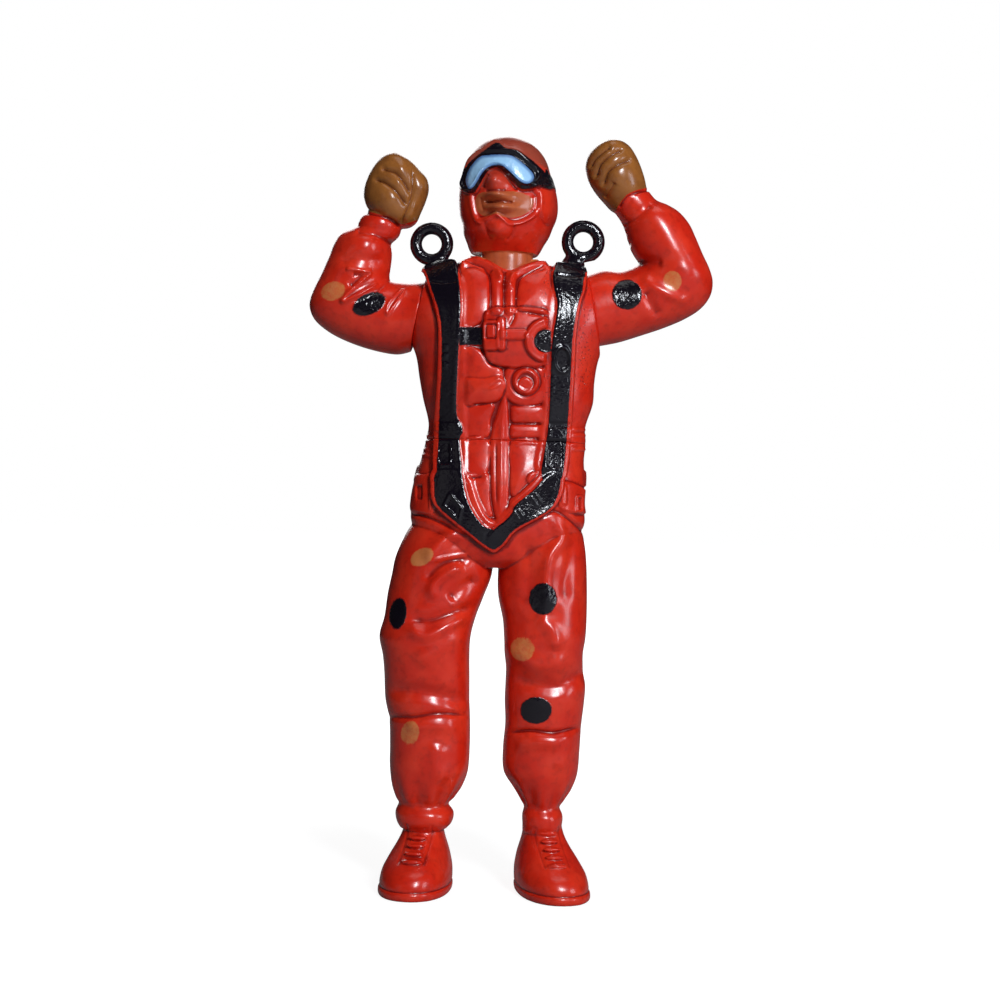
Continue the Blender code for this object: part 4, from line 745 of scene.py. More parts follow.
def suit_front(sheet):
    """Moulded detail of the front of the suit, from the collar down to the thighs."""
    at = sheet.at

    # Chest panels, zip flaps and lapels
    sheet.pad(((460, 267), (480, 268), (487, 275), (489, 285), (489, 309), (485, 318), (477, 325),
               (464, 327), (461, 300)), 0.40, 2.2, 0.35)
    sheet.pad(((519, 285), (524, 277), (536, 271), (549, 268), (553, 285), (552, 314), (530, 313),
               (517, 309)), 0.40, 2.2, 0.45)
    for left, right in ((490.5, 502.5), (505.5, 515.5)):
        sheet.raised(in_box(at, left, 272, right, 316, 4), 0.22, 2.0, 0.30, 4)
    sheet.line(((459, 268), (469, 262), (478, 261), (490, 266), (499, 274), (503, 284)),
               0.55, 3.2, 0.1)
    sheet.line(((549, 265), (535, 266), (520, 272), (512, 280), (508, 292)), 0.55, 3.2, 0.1)
    sheet.line(((462, 271), (474, 269), (486, 273), (491, 284), (491, 312)), -0.25, 1.3, 0.1)
    sheet.line(((547, 271), (530, 274), (518, 281), (516, 309)), -0.22, 1.3, 0.1)
    sheet.line(((504, 280), (504, 309)), -0.35, 1.2, 0.1)

    # Chest pack with its buckle, yoke and half-round eye
    sheet.pad(((489, 311), (500, 308.5), (530, 309.5), (545, 312), (551, 320), (553, 335),
               (549, 358), (541, 366), (520, 367), (500, 366), (488, 360), (484, 348),
               (482.5, 332), (484, 320)), 0.85, 3.2, 0.45, 9)
    sheet.line(((512, 309), (514, 318), (509, 328)), -0.18, 1.5)
    sheet.line(((526, 314), (540, 316), (550, 316)), -0.20, 1.4)
    sheet.raised(in_box(at, 500, 330.5, 526, 339.5, 2), 0.30, 2.0)
    sheet.raised(in_box(at, 483.5, 322, 498, 350, 3), 0.50, 2.2)
    sheet.raised(in_box(at, 485.6, 324.5, 496.8, 339.5, 2), -0.40, 1.6)
    sheet.raised(in_box(at, 487.2, 326.3, 495.4, 337.8, 1.5), 0.38, 1.6)
    sheet.raised(in_box(at, 497.6, 319, 505, 350, 3), 0.50, 2.0)
    eye = in_oval(at, *PACK_EYE)
    fork = np.minimum(in_oval(at, 546, 341, 21.5, 21), 552 - at[:, 0])
    sheet.raised(fork, 0.36, 2.4)
    sheet.rim(fork, 0.14, 1.6, 1.8)
    sheet.up_to(np.minimum(eye, 552 - at[:, 0]), 0.75, 2.0)
    sheet.rim(eye, -0.15, 1.0, -0.8)

    # Pockets on the right of the zip
    sheet.pad(((465, 348), (480, 350), (490, 364), (500, 368), (504, 377), (504, 392), (497, 401),
               (480, 403), (464, 402), (463, 375)), 0.45, 3.0, 0.35)
    sheet.pad(((464, 380), (485, 379), (500, 376), (505, 384), (502, 395), (494, 402), (464, 403)),
               0.25, 3.5, 0.15)
    sheet.line(((489, 384), (496, 380), (502, 378)), 0.14, 1.0)
    sheet.line(((489, 390), (496, 386), (503, 383)), 0.14, 1.0)
    sheet.pad(((464, 406), (480, 405), (494, 404), (490, 420), (488, 436), (464, 437)),
               0.40, 2.4, 0.2)

    # Ripcord knob on its boss, and the rolls under it
    sheet.pad(((507, 368), (525, 367), (543, 368), (546, 380), (545, 396), (538, 404), (520, 405),
               (509, 400), (504.5, 388)), 0.45, 3.2, 0.3)
    knob = in_oval(at, 525.6, 381, 12.6, 13.2)
    sheet.rim(knob, 0.42, 2.0, 2.2)
    sheet.rim(knob, -0.22, 1.3, -1.6)
    sheet.raised(in_oval(at, 524.8, 383.8, 7.0, 6.6), 0.30, 1.8)
    sheet.raised(in_box(at, 511, 405.5, 543, 422.5, 4), 0.42, 3.0, 0.35, 5)
    sheet.raised(in_box(at, 510, 425, 543, 437.5, 3), 0.42, 3.0, 0.25, 5)
    sheet.line(((545, 368), (547.5, 390), (545, 408)), 0.20, 1.5)

    # Zip down to the crotch
    sheet.pad(((505, 392), (508, 410), (509, 437), (509, 480), (507, 510), (500, 524), (494, 510),
               (491, 480), (491, 437), (497, 415)), 0.35, 3.0, 0.25, 4)
    sheet.line(((503, 412), (501.5, 440), (501, 480), (499, 512)), 0.16, 1.8)
    sheet.line(((496.5, 437), (496, 470), (497, 510)), -0.16, 1.2)

    # Panels of the belly
    sheet.pad(((464, 441), (489, 441), (488, 470), (480, 476), (464, 474)), 0.35, 2.4, 0.25)
    sheet.pad(((470, 481), (480, 478), (489, 475), (490, 500), (492, 516), (484, 512), (475, 500)),
               0.35, 3.0, 0.2)
    sheet.line(((466, 473), (478, 477), (490, 473)), 0.18, 1.3)
    sheet.pad(((512, 441), (539, 441), (541, 460), (537, 474), (527, 484), (512, 496), (510, 470)),
               0.38, 2.6, 0.3)
    sheet.line(((513, 446), (524, 443), (538, 444)), 0.15, 1.3)
    sheet.pad(((527, 478), (532, 473), (541, 473), (544, 478), (536, 485), (529, 484)), 0.30, 2.0)
    sheet.line(((539, 444), (537, 468)), -0.14, 1.2)

    # Gathered waist and the pouches on the hips
    for y in (430.5, 436, 444.5, 450):
        sheet.line(((570, y), (578, y - 1), (592, y)), 0.14, 1.1, 0.3)
        sheet.line(((412, y + 6), (424, y + 5), (436, y + 6)), 0.12, 1.1, 0.3)
    sheet.pad(((559, 483), (566, 482), (578, 486), (588, 494), (588, 512), (575, 513), (559, 507)),
               0.35, 1.8)
    sheet.raised(in_box(at, 560, 485, 565, 505, 2), 0.20, 1.4)
    sheet.rim(in_box(at, 575, 496, 580, 512, 2), 0.22, 1.1)
    sheet.pad(((412, 478), (424, 475), (433, 477), (434, 511), (420, 513), (411, 511)), 0.22, 1.8)
    sheet.line(((431, 478), (431, 511)), 0.18, 1.0, 0.1)
    sheet.raised(in_box(at, 417, 485, 423, 500, 2), -0.25, 1.4)

    # Chest strap between the panels
    sheet.raised(in_box(at, 459, 326.5, 483, 345.5, 1), 0.25, 1.6)


def harness_front(sheet):
    """Straps of the harness with their buckles, over the suit."""
    at = sheet.at
    for outline, inner in zip(STRAPS, STRAP_INSIDES):
        top = in_outline(at, outline) + 1.2
        sheet.up_to(np.minimum(in_outline(at, inner), 4) + 1.5, 1.0, 6.0)
        sheet.up_to(top, 1.25, 2.6)
        sheet.rim(top, 0.06, 1.4, 3.0)
    for box in ((440, 441, 454, 468), (543, 440, 562, 471)):
        frame_line = in_box(at, *box, 4)
        sheet.rim(frame_line, 0.26, 1.1, 1.2)
        sheet.raised(frame_line, -0.12, 2.0)
    for y in (343, 352, 361):
        sheet.raised(in_box(at, 446, y, 450, y + 7, 1.5), 0.18, 1.2)
    sheet.rim(in_oval(at, 560, 359, 7.5, 12.5), 0.30, 1.2)
    sheet.raised(in_oval(at, 560, 359, 6, 11), -0.22, 1.6)
    sheet.raised(in_box(at, 548, 421.5, 569, 427, 1), -0.20, 1.8)
    sheet.raised(in_box(at, 546, 428, 569, 440, 3), 0.22, 2.0)
    sheet.raised(in_box(at, 440, 422, 461, 433, 3), 0.20, 2.4)
    sheet.line(((554, 278), (570, 280), (584, 278)), -0.25, 1.2, 0.1)
    sheet.line(((430, 284), (445, 286), (459, 284)), -0.20, 1.2, 0.1)
    sheet.line(((452, 494), (463, 508), (460, 520), (446, 506)), 0.32, 1.2, 0, True, False)
    for path, lift, width in (
            (((534, 493), (540, 504)), 0.26, 1.1), (((530, 496), (536, 507)), 0.22, 1.1),
            (((517, 509), (523, 517)), 0.24, 1.0), (((513, 511), (519, 520)), 0.24, 1.0)):
        sheet.line(path, lift, width, 0.2)


def harness_back(sheet):
    """Straps, belt and leg straps of the back."""
    for side in SIDES:
        for shares in (BACK_STRAP, BACK_LEG_STRAP):
            sheet.up_to(BACK_STRAP_HALF_WIDTH - to_band(sheet.at, shares, side), 0.95, 0.6)
        sheet.rim(BACK_STRAP_HALF_WIDTH - to_band(sheet.at, BACK_STRAP, side), 0.06, 0.25, 0.5)
    sheet.up_to(BACK_BELT_HALF_WIDTH - to_band(sheet.at, BACK_BELT), 0.7, 0.6)


def leg_folds(sheet, strength=1.0):
    """Creases and swellings of the trouser legs."""
    folds = (
        # right thigh and knee
        (((404, 511), (430, 519), (452, 529), (470, 540)), -0.40, 2.4),
        (((476, 520), (456, 531), (438, 546), (422, 563)), 0.55, 6.5),
        (((424, 564), (444, 558), (472, 554)), 0.22, 2.2),
        (((474, 558), (452, 561), (436, 570), (424, 584)), -0.45, 5.5),
        (((466, 566), (447, 572), (434, 584), (432, 604)), 0.60, 6.0),
        (((482, 578), (462, 588), (447, 602)), -0.55, 7.0),
        (((480, 604), (456, 613), (430, 620), (404, 618)), -0.55, 6.0),
        (((404, 624), (424, 636), (446, 626), (470, 612)), 0.50, 6.0),
        (((414, 668), (430, 652), (452, 640), (474, 640)), 0.35, 10.0),
        (((380, 690), (414, 692), (446, 697), (474, 705)), -0.60, 8.0),
        (((380, 716), (410, 718), (440, 714), (474, 716)), -0.40, 3.0),
        (((402, 728), (430, 726), (462, 728)), 0.30, 7.0),
        (((440, 742), (436, 764), (446, 784)), 0.35, 9.0),
        # left thigh and knee
        (((538, 519), (553, 511), (568, 518), (587, 536)), -0.40, 2.0),
        (((549, 514), (562, 536), (550, 556), (546, 580), (547, 602), (541, 622)), 0.55, 6.0),
        (((574, 530), (572, 556), (566, 584), (568, 610)), -0.35, 7.0),
        (((520, 536), (530, 556), (528, 590), (522, 616)), -0.35, 8.0),
        (((536, 618), (552, 630), (556, 652)), 0.45, 7.0),
        (((506, 640), (520, 656), (546, 666), (570, 656)), 0.40, 8.0),
        (((506, 676), (530, 684), (560, 686), (588, 668)), -0.65, 8.0),
        (((504, 733), (530, 731), (556, 733), (584, 726)), -0.50, 2.6),
        (((512, 744), (540, 742), (566, 744)), 0.40, 7.0),
        (((562, 730), (566, 748), (556, 772)), 0.30, 7.0),
    )
    for path, lift, width in folds:
        sheet.line(path, lift * strength, width, 0.22)


def gathers(points, table, lean):
    """Vertical pleats above a trouser cuff, as heights at points."""
    centres, _, _ = leg_rows(table, np.array([CUFF]))
    angle = np.arctan2(points[:, 1] - centres[0, 1], points[:, 0] - centres[0, 0])
    share = points[:, 2] / CROTCH
    span = ease(share, 0.255, 0.285) * (1 - ease(share, 0.30, 0.40))
    near = np.abs(points[:, 0] - centres[0, 0]) < LEG_HALF_WIDTH * 1.3
    wave = np.cos(angle * 9 + lean) + 0.6 * np.cos(angle * 5 - 2 * lean)
    return 0.22 * wave * span * near


def shoe_detail(points, table, turn, spread):
    """Edges of the tongue and the line above the sole, as heights at points."""
    place = np.array(shoe_place(table, turn, spread).inverted())
    own = points @ place[:3, :3].T + place[:3, 3]
    near = (np.abs(own[:, 0]) < SHOE_HALF_WIDTH * 1.2) & (own[:, 2] < SHOE_HEIGHT * 0.95)
    height = -0.22 * np.exp(-((own[:, 2] - SOLE_LINE) / 0.22) ** 2)
    front = ease(-own[:, 1], 2.0, 3.5)
    edge = np.exp(-((np.abs(own[:, 0]) - TONGUE_HALF_WIDTH) / 0.30) ** 2)
    height += -0.14 * edge * front * ease(own[:, 2], 5.6, 6.4)
    return height * near


def front_share(normals, low=-0.15, high=0.25):
    """How far points look towards the front, from 0 to 1."""
    return ease(-normals[:, 1], low, high)


def body_pieces(finish):
    """Chest, and hips with both legs, cast as one skin and parted at the waist."""
    shapes = [trunk_solid()]
    for leg in LEGS:
        shapes.append(leg_solid(leg[0]))
        shapes.extend(shoe_solids(*leg))
    for side in SIDES:
        shapes.extend(ring_solids(side))
    body = cast("chest", shapes, BODY_VOXEL)
    points, normals = places(body.data)
    free = 1 - ring_share(points)
    sheet = Relief(to_sheet(points), front_share(normals) * free)
    suit_front(sheet)
    leg_folds(sheet)
    sheet.height *= RELIEF_STRENGTH

    # The straps of the front end below the tabs on the shoulders' tops
    sheet.share *= 1 - ease(points[:, 2], 114.4, 116.0) * (np.abs(points[:, 0]) > 8)
    harness_front(sheet)
    back = Relief(points[:, [0, 2]], ease(normals[:, 1], -0.15, 0.25) * free)
    harness_back(back)
    back_sheet = Relief(to_sheet(points), ease(normals[:, 1], 0.0, 0.4))
    leg_folds(back_sheet, 0.7)
    height = sheet.height + back.height + back_sheet.height
    for index, leg in enumerate(LEGS):
        height += gathers(points, leg[0], index * 2.0)
        height += shoe_detail(points, *leg)
    height -= 0.16 * np.exp(-((points[:, 2] - WAIST) / 0.22) ** 2)
    points = points + normals * height[:, None]

    # Flat soles, and nothing past the shoulder seams, so that the arms can turn
    points[:, 2] = np.maximum(points[:, 2], 0)
    for side in SIDES:
        proud, near, axis = past_seam(points, side)
        points -= (np.maximum(proud, 0) * near)[:, None] * axis
    move(body, points)
    hips = add("hips_and_legs", body.data.copy())
    part_at_waist(body, WAIST + SEAM_GAP, False)
    part_at_waist(hips, WAIST - SEAM_GAP, True)
    for piece, name in ((body, "chest"), (hips, "hips_and_legs")):
        thin_out(piece)
        paint_body(piece)
        set_down(piece, "trunk", name, finish)


def part_at_waist(piece, height, below):
    shape = bmesh.new()
    shape.from_mesh(piece.data)
    cut(shape, (0, 0, height), (0, 0, 1), below)
    shape.to_mesh(piece.data)
    shape.free()


def ring_share(points):
    """1 on the line rings and the tops of their tabs."""
    share = np.zeros(len(points))
    for side in SIDES:
        gap = np.linalg.norm(points - ring_centre(side), axis=1)
        share = np.maximum(share, 1 - ease(gap, 4.4, 5.2))
    return share


def paint_body(piece):
    """Paint of the harness, rings, spots and neck, over-spray, and painted shade in the hollows.
    """
    points, normals = places(piece.data)
    at = to_sheet(points)
    front, back = normals[:, 1] < 0.05, normals[:, 1] > -0.1
    black = unpainted(points)
    for outline in STRAPS:
        black = painted(black, (in_outline(at, outline) - 0.4) * SHEET_STEP, front)
    eye = np.minimum(in_oval(at, *PACK_EYE), 551 - at[:, 0])
    for inside in (eye, in_box(at, 459, 327, 482, 345, 1.5)):
        black = painted(black, inside * SHEET_STEP, front)
    for side in SIDES:
        for shares in (BACK_STRAP, BACK_LEG_STRAP):
            distance = to_band(points[:, [0, 2]], shares, side)
            black = painted(black, BACK_PAINT_HALF_WIDTH - distance, back)
        gap = np.linalg.norm(points - ring_centre(side), axis=1)
        black = np.maximum(black, RING_PAINT_RADIUS - gap)
        aside = np.abs(points[:, 0] - side * TOP_PAINT_SPREAD)
        black = np.maximum(black, np.minimum(TOP_PAINT_HALF_WIDTH - aside,
                                             points[:, 2] - TOP_PAINT_BASE))
    spray = ease(in_box(at, 570, 290, 592, 390, 8), -10, 8) * 0.7 * front
    spray = np.maximum(spray, ease(in_box(at, 543, 272, 550, 400, 3), -4, 4) * 0.7 * front)
    spray = np.maximum(spray, ease(-np.abs(black + 0.2), -0.5, 0) * 0.6 * front)
    for spot in SUIT_BLACK_SPOTS:
        black = painted(black, in_oval(at, *spot) * SPOT_STEP, front)
    tan = painted(unpainted(points), in_oval(at, *SUIT_TAN_SPOT) * SPOT_STEP, front)
    for spot in SUIT_THIN_SPOTS:
        coat = np.minimum(in_oval(at, *spot) * SPOT_STEP, SUIT_THIN_COAT)
        tan = painted(tan, coat, front)
    throat = NECK_PAINT_RADIUS - np.hypot(points[:, 0] + 0.6, points[:, 1])
    tan = np.maximum(tan, np.minimum(points[:, 2] - NECK_PAINT_BASE, throat))
    # A darker patch on the instep of the figure's right shoe, drawn into the painted shade of the
    # hollows.
    instep_patch = 0.05 * ease(in_oval(at, 419, 862, 21, 7), -2, 3) * front
    # The field of the hollows is painted shade: the finish darkens the colour where the skin lies
    # below its surroundings.
    write_fields(piece, black=black, tan=tan, spray=spray, hollow=hollows(piece.data) + instep_patch)


# Arms
def limb_solid(rows, side=0):
    """Solid between the edges of a table, level with the shoulder seam where it has one."""
    rows = [list(row) for row in rows]
    if side:
        reach = Vector((side * math.sin(SHOULDER_TILT), 0, -math.cos(SHOULDER_TILT)))
        edges = to_sheet(np.array([shoulder_point(side) + reach * SEAM_RADIUS,
                                   shoulder_point(side) - reach * SEAM_RADIUS]))
        rows.insert(0, [*edges[0], *edges[1], SEAM_RADIUS, 0.0])
    angles = 2 * math.pi * np.arange(80) / 80
    rings = []
    for outer_x, outer_y, inner_x, inner_y, depth, forward in eased(rows, 9):
        outer = np.array(from_sheet(outer_x, outer_y, -forward))
        inner = np.array(from_sheet(inner_x, inner_y, -forward))
        rings.append((outer + inner) / 2 + np.outer(np.cos(angles), (inner - outer) / 2)
                     + np.outer(np.sin(angles), (0, depth, 0)))
    return skin(np.array(rings))


def right_arm_detail(sheet):
    """Creases of the sleeve and fingers of the figure's right arm."""
    at = sheet.at
    sheet.crease(((345, 269), (358, 270), (372, 272)), 0.60, 1.8)
    sheet.crease(((373, 271), (360, 282), (348, 293), (340, 303)), 0.60, 1.8)
    sheet.crease(((339, 303), (352, 298), (366, 291), (379, 283)), 0.60, 1.8)
    sheet.line(((352, 275), (360, 276), (350, 287)), -0.35, 3.5, 0.1)
    sheet.line(((352, 303), (368, 297), (388, 283)), -0.25, 3.0, 0.2)
    sheet.crease(((386.6, 312), (388.5, 304), (399.8, 291.8), (404.2, 291.4), (394, 306),
                  (388, 313.4)), 0.34, 1.2, True)
    sheet.bulge(421, 310, 13, 24, 0.35)
    sheet.bulge(366, 246, 18, 15, 0.45)
    sheet.line(((355, 231), (376, 235), (396, 246)), -0.45, 3.0, 0.1)
    sheet.line(((336, 262), (360, 258), (386, 262)), -0.30, 5.0)
    sheet.line(((362, 212), (376, 215), (390, 219.5), (400, 227)), -0.30, 1.4, 0.05)
    for path, lift, width in (
            (((379, 167.5), (387, 170), (396, 173), (404.6, 183), (412.5, 195)), -0.85, 2.0),
            (((372, 178.5), (378, 180.5), (385, 183), (396, 191.6), (408, 207)), -0.85, 2.0),
            (((411, 167), (414, 173), (414, 184), (412.5, 197), (408.5, 208), (401, 228)),
             -0.75, 1.9)):
        sheet.crease(path, lift, width)
    sheet.bulge(388, 199, 16, 13, 0.40)
    sheet.bulge(401, 167, 7, 8, 0.30)
    sheet.bulge(399, 181, 6, 6, 0.20)
    sheet.bulge(421, 188, 6, 13, 0.45, 10)
    sheet.bulge(411, 211, 6, 12, 0.35, 20)


def left_arm_detail(sheet):
    """Creases of the sleeve and fingers of the figure's left arm."""
    sheet.line(((640, 276), (656, 288), (674, 297), (690, 303)), 0.40, 5.0)
    sheet.line(((644, 288), (650, 302), (660, 318)), -0.55, 5.0)
    sheet.line(((634, 262), (648, 262), (664, 264)), -0.50, 5.0, 0.2)
    sheet.line(((644, 208), (660, 224), (676, 246), (690, 266), (697, 288)), 0.30, 14.0, 0.15)
    sheet.line(((622, 226), (636, 218), (652, 204)), -0.30, 3.0, 0.1)
    sheet.line(((616, 252), (622, 246), (632, 244)), -0.25, 4.0)
    sheet.line(((619, 208), (624, 201), (630, 196), (640, 192), (650, 190)), -0.30, 1.3, 0.05)
    for path, lift, width in (
            (((589, 169), (591, 162), (595.5, 156.4), (604.6, 149), (612, 146)), -0.8, 2.0),
            (((594, 180), (595.5, 174), (598.7, 165.2), (609, 155.5), (618, 150.6),
              (625, 148.5)), -0.9, 2.2),
            (((602, 188), (604.6, 178.5), (609, 171.1), (619.3, 164), (628, 160.6),
              (634, 159.2)), -0.9, 2.2),
            (((604, 199), (610, 190), (615, 182)), -0.4, 2.6)):
        sheet.crease(path, lift, width)


def arm_piece(name, side, sleeve, fist, detail, hand, spots, finish):
    """Sleeve and fist of one arm, with its flat end at the shoulder seam."""
    arm = cast(name, [limb_solid(sleeve, side), limb_solid(fist)], ARM_VOXEL, 3)
    points, normals = places(arm.data)
    sheet = Relief(to_sheet(points), front_share(normals, -0.45, 0.15))
    detail(sheet)
    points = points + normals * sheet.height[:, None]
    proud, near, axis = past_seam(points, side)
    points += (np.maximum(SEAM_GAP - proud, 0) * near)[:, None] * axis
    move(arm, points)
    thin_out(arm)
    points, normals = places(arm.data)
    at = to_sheet(points)
    front = normals[:, 1] < 0.1
    black_spot, tan_spot = (in_oval(at, *spot) * SPOT_STEP for spot in spots)
    coat = painted(unpainted(points), np.minimum(tan_spot, ARM_THIN_COAT), front)
    tan = np.maximum(in_outline(at, hand, False) * SHEET_STEP, coat)
    # The field of the hollows is painted shade in the sleeve's creases and between the fingers.
    write_fields(arm, black=painted(unpainted(points), black_spot, front), tan=tan,
                 pale=coat > -0.4, hollow=hollows(arm.data))
    set_down(arm, name, name, finish)


# Head
LENS = ((465.6, 179), (470, 167.4), (479.4, 157), (489.7, 154.8), (501.2, 154.5), (512.7, 156),
        (524, 164), (532, 172), (534, 177.7), (531, 182.3), (525.3, 183.5), (518.4, 180),
        (510.4, 172), (503.5, 166.3), (496.6, 165), (489.7, 166.3), (482.8, 172), (476, 183.5),
        (471.3, 188.6), (467.3, 187))
GOGGLES = ((458.7, 184.6), (462, 174.3), (467.9, 164), (478.2, 154.8), (487.4, 147.9),
           (494.3, 143.3), (500, 143.3), (505.8, 147.9), (517.3, 150.2), (531, 159.4),
           (542.5, 169.7), (549.4, 177.7), (554.6, 184.6), (551.7, 189.2), (539, 186.9),
           (531, 189.2), (521.8, 189.2), (515, 184.6), (508, 176.6), (501.2, 169.7),
           (495.4, 167.4), (489.7, 169.7), (484, 176.6), (478.2, 187), (473.6, 192.7),
           (466.7, 192.7), (461, 189.2))
FACE = ((479, 193.5), (475.5, 200), (476.5, 210), (483, 215.5), (489, 215.5), (496, 213.5),
        (503.5, 217), (515, 217.5), (526, 213.5), (532.5, 207.5), (533, 199), (524, 193.5),
        (512, 191), (500, 191.2), (488, 191.5))
OPENING = ((472, 193), (473.5, 208), (478, 218), (487.4, 216), (496.6, 212), (503.5, 216),
           (511, 221), (520, 220.5), (530, 216), (537, 209), (538, 194), (529, 187), (518, 185),
           (509, 176), (502, 168), (495, 165), (488, 168), (481, 178), (476, 188))


def head_solids():
    """Hood and neck, both turned a little towards the figure's right."""
    heights = np.linspace(0, 1, 150)
    columns = read_table(HEAD_SECTIONS, heights) * HEAD_HALF_WIDTH
    lean = -0.55 * (1 - ease(heights, 0.0, 0.3)) - 0.40 * ease(heights, 0.35, 0.7)
    centres = np.stack((lean, heights * 0, HOOD_BASE + heights * HEAD_LENGTH), axis=1)
    hood = skin(ovals(centres, columns[:, 0], columns[:, 1], columns[:, 2], 2.15, 120))
    neck_heights = np.linspace(NECK_BASE, NECK_TOP, 20)
    neck_centres = np.stack((neck_heights * 0, neck_heights * 0, neck_heights), axis=1)
    radii = np.full(20, NECK_RADIUS)
    neck = skin(ovals(neck_centres, radii, radii, radii, 2.0, 72))
    turn = Matrix.Rotation(HEAD_TURN, 4, "Z")
    for shape in (hood, neck):
        shape.transform(turn)
        yield shape


def head_detail(sheet):
    """Goggles, face opening and chin guard of the hood."""
    at = sheet.at
    opening = in_outline(at, OPENING)
    sheet.raised(opening, -0.60, 3.0)
    sheet.rim(opening, 0.12, 1.8, -2.2)
    sheet.bulge(505, 203, 25, 16, 0.30)
    sheet.bulge(498.0, 195.6, 14.5, 5.6, 2.30)
    sheet.bulge(501.0, 207.2, 16.0, 5.6, 2.10)
    sheet.line(((483, 201.2), (492, 201.8), (501, 201.2), (514, 202.2)), -0.75, 1.3, 0.12)
    sheet.line(((484, 190.2), (495, 191.0), (507, 189.8)), -0.45, 1.5, 0.15)
    sheet.bulge(495.3, 181.5, 12.5, 10.8, 2.30)
    sheet.line(((488, 173), (484.5, 180), (482.5, 188)), -0.40, 2.4, 0.1)
    sheet.line(((504, 168), (510, 178), (519, 189)), -0.45, 3.0, 0.1)
    sheet.line(((480, 196), (479, 203), (483, 211)), -0.25, 2.2, 0.15)
    sheet.crease(((472, 216), (480.5, 223), (487.4, 219), (496.6, 214.5), (503.5, 219),
                  (510.4, 224), (522, 222), (533, 215), (538, 207)), 0.38, 1.8)
    sheet.crease(((535.5, 212), (536.5, 204), (536.5, 195)), 0.28, 1.1)
    sheet.crease(((532.5, 210), (533.5, 203), (533.5, 196)), 0.16, 0.9)
    sheet.bulge(499, 228.5, 12, 11, 1.05)
    sheet.line(((484, 218), (486, 229), (492, 240)), -0.18, 2.4)
    sheet.line(((515, 222), (512, 233), (505, 241)), -0.22, 2.2)
    sheet.pad(((540, 188), (548, 187), (556, 196), (557, 212), (552, 224), (543, 222), (539, 205)),
               0.25, 2.2, 0.2)
    sheet.line(((548, 186), (555, 195), (557.5, 208), (553, 224)), 0.16, 1.4)
    sheet.pad(GOGGLES, 1.05, 2.8)
    lens = in_outline(at, LENS)
    sheet.raised(lens, -0.55, 1.6, 0.25, 3.0)
    sheet.rim(lens, 0.16, 1.0, -1.6)
    for path in (((466, 188), (464.6, 182), (467, 174)), ((540, 169), (543.5, 174), (541, 181)),
                 ((509, 153.4), (519, 156.5), (527, 162))):
        sheet.crease(path, 0.22, 1.0)


def head_piece(finish):
    head = cast("head", list(head_solids()), HEAD_VOXEL, 3)
    points, normals = places(head.data)
    sheet = Relief(to_sheet(points), front_share(normals, 0.12, 0.62)
                   * ease(points[:, 2], HOOD_BASE - 0.2, HOOD_BASE + 0.6))
    head_detail(sheet)
    band = np.exp(-((points[:, 2] - GOGGLE_STRAP) / GOGGLE_STRAP_HALF_WIDTH) ** 6)
    height = sheet.height + 0.25 * (band * (1 - front_share(normals, -0.05, 0.2)))
    move(head, points + normals * height[:, None])
    thin_out(head)
    points, normals = places(head.data)
    at = to_sheet(points)
    front = normals[:, 1] < 0.05
    strap = GOGGLE_STRAP_HALF_WIDTH - np.abs(points[:, 2] - GOGGLE_STRAP)
    black = np.where(front, in_outline(at, GOGGLES) * SHEET_STEP, strap)
    black = painted(black, strap, np.abs(points[:, 0]) > 6.5)
    lens = painted(unpainted(points), in_outline(at, LENS) * SHEET_STEP, front)
    tan = painted(unpainted(points), in_outline(at, FACE) * SHEET_STEP, front)
    tan = np.maximum(tan, np.minimum(HOOD_BASE + 0.05 - points[:, 2],
                                     6.0 - np.hypot(points[:, 0], points[:, 1])))
    # Painted shade round the nose, and a duller brown over the hood's top above the goggle strap
    nose = ease(in_oval(at, 495, 180, 17, 13), -4, 5) * front
    faded = np.maximum(ease(points[:, 2], GOGGLE_STRAP, 134.0), 0.45 * nose)
    # The field of the hollows is painted shade in the hood's recesses and creases.
    write_fields(head, black=black, tan=tan, lens=lens, hollow=hollows(head.data), faded=faded)
    set_down(head, "head", "head", finish)


# Finishes
class Value:
    """A socket that adds shader maths as Python writes it."""

    def __init__(self, finish, socket):
        self.finish, self.socket = finish, socket

    def maths(self, operation, first, second):
        return self.finish.node("Math", {"operation": operation}, {0: first, 1: second})

    def __add__(self, other):
        return self.maths("ADD", self, other)

    def __radd__(self, other):
        return self.maths("ADD", other, self)

    def __sub__(self, other):
        return self.maths("SUBTRACT", self, other)

    def __rsub__(self, other):
        return self.maths("SUBTRACT", other, self)

    def __mul__(self, other):
        return self.maths("MULTIPLY", self, other)

    def __rmul__(self, other):
        return self.maths("MULTIPLY", other, self)

    def most(self, other):
        return self.maths("MAXIMUM", self, other)

    def between(self, low, high):
        """0 at the low value, 1 at the high one and smooth between them."""
        return self.finish.node("MapRange", {"interpolation_type": "SMOOTHSTEP"},
                                {0: self, 1: low, 2: high, 3: 0.0, 4: 1.0})


class Finish:
    """One material and its nodes."""

    def __init__(self, name):
        self.material = bpy.data.materials.new(name)
        self.material.use_nodes = True
        self.tree = self.material.node_tree
        self.shader = self.tree.nodes["Principled BSDF"]
        self.output = self.tree.nodes["Material Output"]

    def node(self, kind, settings=(), sockets=(), output=0):
        made = self.tree.nodes.new("ShaderNode" + kind)
        for key, value in dict(settings).items():
            setattr(made, key, value)
        for key, value in dict(sockets).items():
            self.set(made.inputs[key], value)
        return Value(self, made.outputs[output])

    def set(self, socket, value):
        if isinstance(value, Value):
            self.tree.links.new(value.socket, socket)
        else:
            socket.default_value = value

    def mixed(self, share, first, second):
        return self.node("Mix", {"data_type": "RGBA"}, {0: share, 6: first, 7: second}, 2)

    def field(self, name):
        return self.node("Attribute", {"attribute_name": name}, output=2)

    def noise(self, place, scale, detail):
        return self.node("TexNoise", {}, {"Vector": place, "Scale": scale, "Detail": detail})


